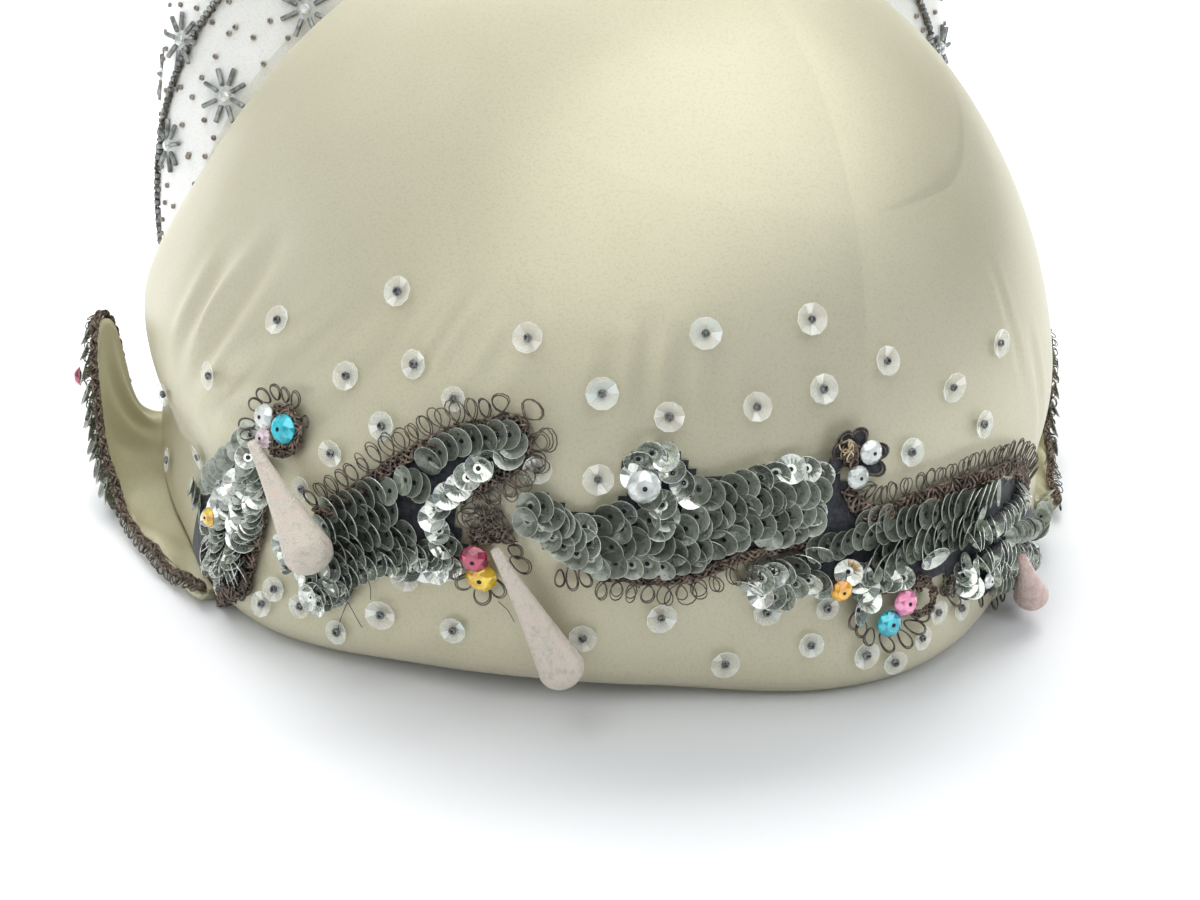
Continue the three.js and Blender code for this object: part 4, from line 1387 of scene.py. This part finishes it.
FLOWER = {
    "centre": (848, 455),
    "petals": [(840, 430), (860, 426), (828, 446), (824, 466), (884, 448), (880, 470)],
}


def loop_paths(spec, lift=0.9):
    foot_px, tip_px, width = spec
    foot, tip = on_crown([foot_px, tip_px], 1.0)
    start = satin_point(*foot, 0.5)
    end = satin_point(*tip, 0.8)
    outward = crown_frame(*foot)[2]
    heading = unit(end - start)
    side = unit(np.cross(outward, heading))
    return petal(start, heading, side, outward, np.linalg.norm(end - start), width, lift)


def make_loops():
    for name, group in LOOPS.items():
        paths = [path for spec in group for path in loop_paths(spec)]
        wires(name, paths, WIRE, LOOP_WIRE)


STRAYS = [
    [(352, 590), (346, 606), (340, 622), (338, 630)],
    [(346, 600), (354, 612), (362, 628)],
    [(366, 575), (371, 588), (370, 600)],
    [(498, 602), (508, 610), (514, 622)],
]


def make_strays():
    """Loose ends of thread that have worked free of the trim."""
    paths = []
    for line in STRAYS:
        path = smooth_path(on_crown(line, 0.8), 10)
        paths.append(satin_point(path[:, 0], path[:, 1], 0.5 + 0.5 * np.sin(np.linspace(0, 3, len(path)))))
    wires("stray_threads", paths, 0.07, THREAD)


def make_flower():
    """Six loop petals with a film of dark net in each, round a knot of bullion."""
    rims = []
    batch = Batch()
    for tip in FLOWER["petals"]:
        paths = loop_paths((FLOWER["centre"], tip, 4.4), 1.6)
        rims += paths
        middle = paths[0].mean(axis=0)
        ring = np.concatenate([middle[None], paths[0][:-1]])
        count = len(ring) - 1
        faces = [(0, 1 + k, 1 + (k + 1) % count) for k in range(count)]
        batch.add({"points": ring, "faces": faces, "indices": [0] * count}, np.eye(4))
    wires("flower_rims", rims, WIRE * 1.2, LOOP_WIRE)
    batch.build("flower_net", [NET], smooth=True)
    make_tangle("flower_knot", FLOWER["centre"], 2.7, 1.8, 0.26, BRONZE)
    make_tangle("flower_straw", (843, 449), 2.3, 2.2, 0.16, STRAW)


def make_tangle(name, pixel, radius, thick, wire, material):
    """A ball of wire, pressed flat against the satin."""
    angle, height = on_crown([pixel], 1.5)[0]
    around, upward, outward = crown_frame(angle, height)
    centre = satin_point(angle, height, thick * 0.9)
    turn = np.linspace(0, 46, 620)
    slope = 0.73 * turn + 0.9 * np.sin(0.31 * turn)
    size = radius * (0.86 + 0.2 * np.sin(1.9 * turn))
    path = (
        centre
        + around * (size * np.cos(turn) * np.cos(slope))[:, None]
        + upward * (size * np.sin(turn) * np.cos(slope * 0.6))[:, None]
        + outward * (thick * 0.8 * np.sin(slope))[:, None]
    )
    wires(name, [path], wire, material)


def make_coils():
    """The coil of gimp round the turquoise stone, and the nest and curl elsewhere."""
    for name, nodes, centre, radius, turns, start in (
        ("rosette_left_coil", ["rosette_left"], (284, 431), 4.4, 2.2, -2.0),
        ("rosette_right_coil", ["rosette_right"], (918, 596), 3.4, 1.3, 0.4),
    ):
        angle, height = on_crown([centre], 1.0)[0]
        origin = satin_point(angle, height, 0.8)
        around, upward, outward = crown_frame(angle, height)
        turn = start + np.linspace(0, turns * 2 * math.pi, int(turns * 60))
        grow = radius * (1 + 0.18 * np.sin(turn * 0.37)) * np.linspace(1.0, 0.72, len(turn))
        line = (
            origin
            + around * (grow * np.cos(turn))[:, None]
            + upward * (grow * np.sin(turn))[:, None]
            + outward * np.linspace(0, 1.2, len(turn))[:, None]
        )
        strands, thick = plait(along_line(line, np.tile(outward, (len(line), 1))), 0.7, 1.9, 4)
        wires(name, strands, thick, BRONZE, nodes)
    make_tangle("wire_nest", (474, 515), 4.2, 1.6, 0.15, LOOP_WIRE)
    make_tangle("wire_nest_low", (492, 525), 3.4, 1.3, 0.15, LOOP_WIRE)
    make_tangle("wire_curl_left", (243, 583), 2.6, 1.2, 0.14, LOOP_WIRE)
    make_tangle("wire_curl_right", (950, 586), 2.6, 1.2, 0.14, LOOP_WIRE)


# Stones, by name, pixel, radius and the distance out that they are sewn at
STONES = {
    "stone_turquoise_left": {"px": (284, 429), "radius": 2.9, "out": 2.2},
    "stone_clear_left": {"px": (266, 417), "radius": 2.6, "out": 1.6},
    "stone_rose_left": {"px": (264, 438), "radius": 2.2, "out": 2.2},
    "stone_red": {"px": (475, 558), "radius": 2.8, "out": 2.2},
    "stone_yellow": {"px": (482, 576), "radius": 3.0, "out": 1.8},
    "stone_clear_upper": {"px": (870, 452), "radius": 2.4, "out": 2.2},
    "stone_clear_lower": {"px": (857, 477), "radius": 2.3, "out": 2.2},
    "stone_orange": {"px": (841, 590), "radius": 2.2, "out": 3.4},
    "stone_pink": {"px": (904, 602), "radius": 2.7, "out": 2.0},
    "stone_turquoise_right": {"px": (888, 623), "radius": 2.7, "out": 1.4},
    "stone_amber_left": {"px": (211, 517), "radius": 2.0, "out": 4.6},
    "stone_clear_band": {"px": (644, 487), "radius": 3.1, "out": 3.6, "extra": True},
    "stone_clear_end": {"px": (987, 581), "radius": 1.6, "out": 3.4, "extra": True},
}


def make_stones():
    for name, stone in STONES.items():
        kind = name.split("_")[1]
        kind = "yellow" if kind == "amber" else kind
        angle, height = on_crown([stone["px"]], stone["out"])[0]
        around, upward, outward = crown_frame(angle, height)
        spot = satin_point(angle, height, stone["out"])
        table = spot + outward * 0.7 * stone["radius"]
        knot = round_bead(stone["radius"] * 0.16, 0.05, 0.2, 8)
        batch = Batch()
        batch.add(cut_gem(stone["radius"]), stand(spot, around, upward, outward))
        batch.add(knot, stand(table, around, upward, outward), material=1)
        nodes = [] if stone.get("extra") else [name]
        batch.build(name + "_gem", [STONE_MATERIALS[kind], THREAD], nodes)


# Teardrops: sewn end and bulb by pixel and distance out
DROPS = {
    "drop_left": {
        "sewn": (251, 441),
        "sewn_out": 4.6,
        "bulb": (308, 552),
        "bulb_out": 9.0,
        "radius": 4.7,
        "material": IVORY,
        "slot": "drop_ivory",
    },
    "drop_front": {
        "sewn": (494, 548),
        "sewn_out": 3.7,
        "bulb": (561, 668),
        "bulb_out": 5.8,
        "radius": 4.4,
        "material": IVORY,
        "slot": "drop_ivory",
    },
    "drop_right": {
        "sewn": (1022, 556),
        "sewn_out": 5.4,
        "bulb": (1031, 594),
        "bulb_out": 6.6,
        "radius": 3.7,
        "material": PINK_PEARL,
        "slot": "drop_pink",
    },
}


def make_drops():
    for name, drop in DROPS.items():
        sewn = on_crown([drop["sewn"]], drop["sewn_out"])[0]
        bulb = on_crown([drop["bulb"]], drop["bulb_out"])[0]
        top = bare_point(*sewn, drop["sewn_out"])
        foot = bare_point(*bulb, drop["bulb_out"])
        axis = unit(foot - top)
        reach = np.linalg.norm(foot - top)
        profile = [(0.0, 0.0)]
        for k in range(1, 26):
            share = k / 26
            profile.append((1.0 + (drop["radius"] - 1.0) * share**1.35, share * reach))
        for k in range(10):
            turn = math.pi / 2 * k / 10
            profile.append((drop["radius"] * math.cos(turn), reach + drop["radius"] * 0.9 * math.sin(turn)))
        profile.append((0.0, reach + drop["radius"] * 0.9))
        profile[1] = (0.9, 0.25)
        shape = lathe(profile, 36)
        x = unit(np.cross(axis, [0, 0, 1]))
        batch = Batch()
        batch.add(shape, stand(top, x, np.cross(axis, x), axis))
        batch.build(name + "_pearl", [drop["material"]], [name], smooth=True)


# Loose clear sequins on the satin, each held by a steel bead, by pixel
PAILLETTES = [
    (277, 320), (397, 291), (213, 376), (345, 376), (413, 364), (528, 338), (602, 394), (598, 480),
    (670, 417), (706, 333), (758, 407), (812, 319), (824, 389), (887, 361), (953, 387), (1000, 343),
    (983, 424), (381, 614), (661, 618), (725, 664),
    (164, 394), (453, 399), (911, 452), (382, 426), (331, 453), (302, 489), (168, 460), (198, 457),
    (220, 587), (262, 604), (274, 589), (300, 606), (337, 632), (405, 577), (453, 630), (537, 470),
    (583, 638), (767, 612), (811, 645), (827, 608), (866, 655), (895, 662), (922, 638), (938, 612),
    (961, 608), (326, 598),
]


def make_paillettes():
    sequin = cup_sequin(3.0, 0.35, 0.7, 10)
    sequin["indices"] = [0] * 20 + [1] * 20 + [0] * 30
    bead = round_bead(0.85, 0.2, 0.9, 10)
    places = on_crown(PAILLETTES, 0.8)
    for k, (angle, height) in enumerate(places):
        around, upward, outward = crown_frame(angle, height)
        lean = RANDOM.normal(0, 0.10, 2)
        z = unit(outward + around * lean[0] + upward * lean[1])
        x = unit(np.cross(upward, z))
        y = np.cross(z, x)
        turn = RANDOM.uniform(0, 2 * math.pi)
        x, y = spin(x, y, turn)
        size = RANDOM.uniform(0.93, 1.04) if k < 20 else RANDOM.uniform(0.8, 0.98)
        spot = satin_point(angle, height, CLEAR + 0.25)
        batch = Batch()
        # One wedge facet of each sequin, and half the time the opposite one too, takes the paler material
        # as a painted glint.
        glint = RANDOM.integers(0, 10)
        kinds = list(sequin["indices"])
        for facet in (glint, (glint + 5) % 10) if RANDOM.random() < 0.5 else (glint,):
            kinds[10 + facet] = 1
        batch.add({**sequin, "indices": kinds}, stand(spot, x, y, z, size))
        batch.add(bead, stand(spot + z * 0.05, x, y, z, RANDOM.uniform(0.9, 1.1)), material=2)
        nodes = [f"paillette_{k + 1:02d}"] if k < 20 else []
        materials = [CLEAR_SEQUIN, CLEAR_RIM_AND_GLINT, STEEL_BEAD]
        batch.build(f"clear_sequin_{k + 1:02d}", materials, nodes)


# Beadwork on the white hood: stars of bugle beads, and seed beads between them

STAR_RAYS = 8
STAR_PIXELS = [(228, 97), (183, 40), (170, 145), (308, 10)]
STARS = [
    (1.5, 90), (2.7, 90), (2.2, 68), (1.4, 52), (2.5, 42), (1.7, 22), (2.8, 15), (3.5, 30), (3.5, 60),
    (3.6, 90), (3.5, 120), (3.5, 150), (3.4, 178), (4.4, 20), (4.4, 55), (4.4, 90), (4.4, 125),
    (4.4, 160), (5.3, 35), (5.3, 90), (5.3, 145), (6.2, 60), (6.2, 120), (3.4, 2), (4.2, 195),
    (4.2, 345), (5.0, 200), (5.0, 340), (3.6, 205), (3.6, 335), (5.4, 270), (4.7, 235), (4.7, 305),
    (6.1, 215), (6.1, 325), (2.5, 178), (1.6, 5),
]
BEAD_GAP = 6.0
BEAD_JITTER = 1.3
STAR_REACH = 8.0
# The beads' first row of the hood, the rows they cover, and the steps in which they are counted
BEAD_START = 0.12
BEAD_REACH = 7.18
BEAD_STEPS = 800


def on_hood(pixels):
    """The hood's rows and turns that show at these pixels."""
    place, turn = np.meshgrid(np.arange(0.05, 4.5, 0.02), np.arange(60, 205, 0.8))
    place, turn = place.ravel(), turn.ravel()
    points = hood_point(place, turn)
    facing = ((EYE - points) * hood_frame(place, turn)[2]).sum(axis=1) > 0
    seen = project(points[facing])
    places = []
    for pixel in pixels:
        nearest = ((seen - np.array(pixel)) ** 2).sum(axis=1).argmin()
        places.append((place[facing][nearest], turn[facing][nearest]))
    return places


def star_size(place):
    return 1.0 if place < 4 else 1.0 - 0.14 * (place - 4)


def make_hood_stars():
    rays = Batch()
    crystals = Batch()
    bugle = tube_bead(0.62, 4.4)
    crystal = cut_gem(1.5)
    centres = []
    for place, turn in on_hood(STAR_PIXELS) + STARS:
        around, onward, outward = (v[0] for v in hood_frame(np.array([place]), np.array([turn])))
        size = star_size(place)
        ground = hood_point(np.array([place]), np.array([turn]))
        centre = ground[0] + outward * (hood_relief(ground)[0] + 0.8)
        centres.append(centre)
        twist = RANDOM.uniform(0, math.pi / 4)
        for k in range(STAR_RAYS):
            angle = twist + 2 * math.pi * k / STAR_RAYS + RANDOM.normal(0, 0.06)
            way = around * math.cos(angle) + onward * math.sin(angle)
            side = np.cross(outward, way)
            spot = centre + way * RANDOM.uniform(4.3, 4.9) * size
            rays.add(bugle, stand(spot, way, side, outward, size), random_tint(0.2, 0.9))
        crystals.add(crystal, stand(centre, around, onward, outward, size))
    rays.build("hood_star_rays", [BUGLE], smooth=True)
    crystals.build("hood_star_crystals", [STONE_MATERIALS["clear"]])
    return np.array(centres)


def make_hood_beads(centres):
    """A loose field of seed beads between the stars."""
    seeds = Batch()
    seed = round_bead(0.75, 0.2, 0.9, 6)
    path = hood_point(np.linspace(BEAD_START, BEAD_START + BEAD_REACH, BEAD_STEPS), 90)
    for place in walk(path, BEAD_GAP) / (BEAD_STEPS - 1) * BEAD_REACH + BEAD_START:
        ring = hood_point(np.full(361, place), np.arange(361) * 1.0)
        for turn in walk(ring, BEAD_GAP, RANDOM.uniform(0, BEAD_GAP)):
            bead_turn = turn + RANDOM.normal(0, BEAD_JITTER) * 0.6
            bead_place = max(place + RANDOM.normal(0, BEAD_JITTER) * 0.02, 0.06)
            spot = hood_point(np.array([bead_place]), np.array([bead_turn]))[0]
            if spot[2] < 3 or RANDOM.random() < 0.12:
                continue
            if np.linalg.norm(centres - spot, axis=1).min() < STAR_REACH:
                continue
            frames = hood_frame(np.array([bead_place]), np.array([bead_turn]))
            around, onward, outward = (v[0] for v in frames)
            seeds.add(seed, stand(spot + outward * hood_relief(spot[None])[0], around, onward, outward))
    seeds.build("hood_seed_beads", [SEED], smooth=True)


# Braids on the hood

HOOD_BRAIDS = {
    "hood_edge_braid": {"row": 1.5, "start": -8, "end": 188, "scallops": 0},
    "hood_swag_braid": {"row": 3.05, "start": 12, "end": 168, "scallops": 5},
}
SWAG_DEPTH = 0.14


def make_hood_braids():
    for name, braid in HOOD_BRAIDS.items():
        share = np.linspace(0, 1, 900)
        swag = np.abs(np.sin(share * braid["scallops"] * math.pi)) * SWAG_DEPTH
        turn = braid["start"] + (braid["end"] - braid["start"]) * share
        outward = hood_frame(braid["row"] - swag, turn)[2]
        ground = hood_point(braid["row"] - swag, turn)
        points = ground + outward * (hood_relief(ground) + 0.4)[:, None]
        line = along_line(points, outward)
        chain = Batch()
        bead = round_bead(0.95, 0.15, 1.3, 8)
        heading, side = line[1], line[2]
        for row in walk(line[0], 1.55):
            k = int(row)
            shift = side[k] * (0.7 if k % 2 else -0.5) + line[3][k] * 0.3
            chain.add(bead, stand(line[0][k] + shift, side[k], line[3][k], heading[k]))
        chain.build(name + "_beads", [BUGLE], [name], smooth=True)
        strands, radius = plait(line, 0.6, 2.2, 3, 0.22)
        wires(name + "_thread", strands, radius, LOOP_WIRE)


# The upturned flaps

def flap_point(row, share, pleat=0.0):
    angle, x, y, z = row
    foot = bare_point(angle, FLAP_JOIN, CLEAR)
    foot[2] = FLAP_FOOT
    edge = np.array([x, y, z])
    low = np.array([x, y, min(FLAP_FOOT, z)])
    elbow = low + (edge - low) * 0.12
    a = foot + (elbow - foot) * share
    b = elbow + (edge - elbow) * share
    point = a + (b - a) * share
    point[2] += pleat * math.sin(math.pi * share) ** 2
    return point


FLAP_STEPS = 30
# The number of rows along each flap
FLAP_ROWS = 90
# A pleat near the brow and the dip beside it: row, width and rise
PLEATS = [(1.5, 0.28, 2.2), (2.1, 0.25, -0.5)]


def make_flap(name, table, way):
    """A flap of two layers of satin turned up at the edge, with a soft pleat near the brow."""
    places = np.linspace(0, len(table) - 1, FLAP_ROWS)
    rows = rows_at(table, places)
    grid = np.zeros((FLAP_ROWS, FLAP_STEPS + 1, 3))
    for i, row in enumerate(rows):
        pleat = sum(rise * math.exp(-(((places[i] - at) / wide) ** 2)) for at, wide, rise in PLEATS)
        for j in range(FLAP_STEPS + 1):
            grid[i, j] = flap_point(row, j / FLAP_STEPS, max(pleat, -0.3))
    ripple = 0.55 * np.sin(places[:, None] * 5.3 + np.linspace(0, 4, FLAP_STEPS + 1)[None])
    normal = unit(np.cross(np.gradient(grid, axis=0), np.gradient(grid, axis=1)))
    across = np.sin(np.linspace(0, math.pi, FLAP_STEPS + 1))
    middle = grid + normal * ripple[..., None] * across[None, :, None]
    near = middle + normal * CLOTH / 2
    far = middle - normal * CLOTH / 2
    near[..., 2] = np.maximum(near[..., 2], 0.15)
    far[..., 2] = np.maximum(far[..., 2], 0.15)
    wide = FLAP_STEPS + 1
    points = np.concatenate([near.reshape(-1, 3), far.reshape(-1, 3)])
    count = FLAP_ROWS * wide
    faces = []
    for i in range(FLAP_ROWS - 1):
        for j in range(FLAP_STEPS):
            a = i * wide + j
            faces.append((a, a + 1, a + wide + 1, a + wide))
            faces.append((count + a, count + a + wide, count + a + wide + 1, count + a + 1))
    border = [i * wide for i in range(FLAP_ROWS)]
    border += [(FLAP_ROWS - 1) * wide + j for j in range(1, wide)]
    border += [i * wide + FLAP_STEPS for i in range(FLAP_ROWS - 2, -1, -1)]
    border += [j for j in range(FLAP_STEPS - 1, 0, -1)]
    for a, b in zip(border, border[1:] + border[:1]):
        faces.append((a, a + count, b + count, b))
    # The flap's satin carries the painted shade tone.
    obj = make_object(name + "_satin", points, faces, [SHADE_TONED_SATIN], [name])
    edit_mesh(obj, lambda bm: None)
    edge = middle[:, -1]
    beyond = unit(middle[:, -1] - middle[:, -4])
    trim = dress_flap_edge(name, edge, beyond, way)


def dress_flap_edge(name, edge, outward, way):
    points = edge + outward * 0.9
    travel = travel_along(points)
    even = np.interp(np.arange(0, travel[-1], 0.3), travel, np.arange(len(points)))
    line = along_line(pick(points, even), pick(outward, even))
    strands, radius = plait(line, 0.65, 2.2, 5, 0.27)
    braid = wires(name + "_braid_plait", strands, radius, BRONZE, [name + "_braid"])
    loops = picots(line, 0.3, way, 2.6, 2.4, -1.2)
    picot_piece = wires(name + "_braid_picots", loops, WIRE, LOOP_WIRE)
    return [braid, picot_piece]


def sequin_flap(name, table, rows, shares, way):
    """Sequins and a red stone on the outer face of a flap's tip."""
    shape = cup_sequin(2.4)
    batch = Batch()
    for place in rows:
        for share in shares:
            row = rows_at(table, [place])[0]
            ahead = rows_at(table, [place + 0.1])[0]
            point = flap_point(row, share)
            along = unit(flap_point(ahead, share) - point)
            across = unit(flap_point(row, min(share + 0.05, 1.0)) - flap_point(row, share - 0.05))
            normal = unit(np.cross(along, across)) * way
            tilt = 0.5 + RANDOM.normal(0, 0.08)
            z = unit(normal * math.cos(tilt) + across * math.sin(tilt))
            x = unit(np.cross(along, z))
            silver = RANDOM.random() < 0.35
            spot = point + normal * (CLOTH / 2 + 1.0)
            tint = random_tint(0.2, 0.9)
            batch.add(shape, stand(spot, x, np.cross(z, x), z), tint, 2 if silver else 0)
    if name == "flap_left":
        row = rows_at(table, [4.4])[0]
        spot = flap_point(row, 0.9)
        batch.add(cut_gem(2.2), stand(spot + [-3.4, 0, 0], [0, 1, 0], [0, 0, 1], [-1, 0, 0]), material=4)
    materials = [GUNMETAL, GUN_RIM, SILVER, SILVER_RIM, STONE_MATERIALS["red"]]
    batch.build(name + "_sequins", materials)


# The set: camera, floor and light

def make_camera():
    data = bpy.data.cameras.new("camera")
    data.lens = FOCAL_MM
    data.sensor_width = SENSOR_MM
    data.sensor_fit = "HORIZONTAL"
    data.clip_end = 50
    camera = bpy.data.objects.new("camera", data)
    matrix = Matrix.Identity(4)
    for column, axis in enumerate((CAMERA_RIGHT, CAMERA_UP, CAMERA_BACK)):
        for row in range(3):
            matrix[row][column] = axis[row]
    matrix.translation = Vector(to_metres(EYE))
    camera.matrix_world = matrix
    bpy.context.scene.collection.objects.link(camera)
    bpy.context.scene.camera = camera


PAPER = [(0.3, (0.885, 0.895, 0.905)), (0.7, (0.900, 0.907, 0.915))]


def make_floor():
    mesh = bpy.data.meshes.new("floor")
    half = 6.0
    corners = [(-half, -half, 0), (half, -half, 0), (half, half, 0), (-half, half, 0)]
    mesh.from_pydata(corners, [], [(0, 1, 2, 3)])
    floor = bpy.data.objects.new("floor", mesh)
    shader = Shader("floor_paper")
    shader.set(
        Base_Color=shader.ramp(shader.noise(2.0, 2), PAPER),
        Roughness=0.75,
        Specular_IOR_Level=0.1,
    )
    mesh.materials.append(shader.material)
    bpy.context.scene.collection.objects.link(floor)


# Each light's place and size in metres; the strip's long side lies along the satin's highlight
AIM = (0, -0.05, 0.05)
WARM = (1.0, 0.99, 0.97)
COOL = (0.96, 0.985, 1.0)
LIGHTS = {
    "overhead_strip": {
        "place": (0.14, -0.37, 0.95),
        "size": (2.0, 1.05),
        "power": 11.5,
        "colour": WARM,
        "long_way": (0.79, 0.61, 0),
    },
    "overhead_fill": {"place": (0.14, -0.37, 0.95), "size": (2.0, 1.05), "power": 17.0, "colour": COOL},
    "left_softbox": {"place": (-1.10, -0.80, 0.62), "size": (0.9, 0.8), "power": 1.7, "colour": WARM},
    "back_light": {"place": (0.1, 0.85, 1.05), "size": (2.2, 1.0), "power": 40.0, "colour": (1, 1, 1)},
}


def area_light(name):
    spec = LIGHTS[name]
    data = bpy.data.lights.new(name, "AREA")
    data.shape = "RECTANGLE"
    data.size, data.size_y = spec["size"]
    data.energy = spec["power"]
    data.color = spec["colour"]
    light = bpy.data.objects.new(name, data)
    back = (Vector(spec["place"]) - Vector(AIM)).normalized()
    along = Vector(spec.get("long_way", (1, 0, 0)))
    across = back.cross(along).normalized()
    along = across.cross(back)
    matrix = Matrix.Identity(4)
    for column, axis in enumerate((along, across, back)):
        for row in range(3):
            matrix[row][column] = axis[row]
    matrix.translation = Vector(spec["place"])
    light.matrix_world = matrix
    bpy.context.scene.collection.objects.link(light)
    return light


# The sky fades from a pale side, up and behind, to a dark one, down and in front
SKY_LEAN = (-0.26, 0.40, 0.88)
SKY_LOW = (0.12, 0.150, 0.190, 1.0)
SKY_HIGH = (0.97, 0.985, 1.0, 1.0)
SKY_STRENGTH = 0.72


def make_lights():
    world = bpy.data.worlds.new("studio")
    bpy.context.scene.world = world
    world.use_nodes = True
    tree = world.node_tree
    background = tree.nodes["Background"]
    coords = tree.nodes.new("ShaderNodeTexCoord")
    lean = tree.nodes.new("ShaderNodeVectorMath")
    lean.operation = "DOT_PRODUCT"
    lean.inputs[1].default_value = SKY_LEAN
    spread = tree.nodes.new("ShaderNodeMapRange")
    spread.inputs["From Min"].default_value = -0.4
    ramp = tree.nodes.new("ShaderNodeValToRGB")
    ramp.color_ramp.elements[0].color = SKY_LOW
    ramp.color_ramp.elements[1].color = SKY_HIGH
    tree.links.new(coords.outputs["Generated"], lean.inputs[0])
    tree.links.new(lean.outputs["Value"], spread.inputs["Value"])
    tree.links.new(spread.outputs["Result"], ramp.inputs["Fac"])
    tree.links.new(ramp.outputs["Color"], background.inputs["Color"])
    background.inputs["Strength"].default_value = SKY_STRENGTH
    strip = area_light("overhead_strip")
    strip.visible_diffuse = False
    fill = area_light("overhead_fill")
    fill.visible_glossy = False
    area_light("left_softbox")
    back = area_light("back_light")
    back.visible_glossy = False


bpy.context.scene.view_settings.view_transform = "Standard"
make_camera()
make_floor()
make_lights()
make_crown()
make_hood()
make_nets()
sew_sequins()
make_gimps()
make_loops()
make_flower()
make_coils()
make_strays()
make_stones()
make_drops()
make_paillettes()
make_hood_beads(make_hood_stars())
make_hood_braids()
make_flap("flap_left", LEFT_FLAP, 1)
make_flap("flap_right", RIGHT_FLAP, -1)
sequin_flap("flap_left", LEFT_FLAP, np.arange(2.6, 6.2, 0.33), (0.62, 0.74, 0.86, 0.96), -1)
sequin_flap("flap_right", RIGHT_FLAP, np.arange(1.8, 5.4, 0.36), (0.6, 0.75, 0.9), 1)
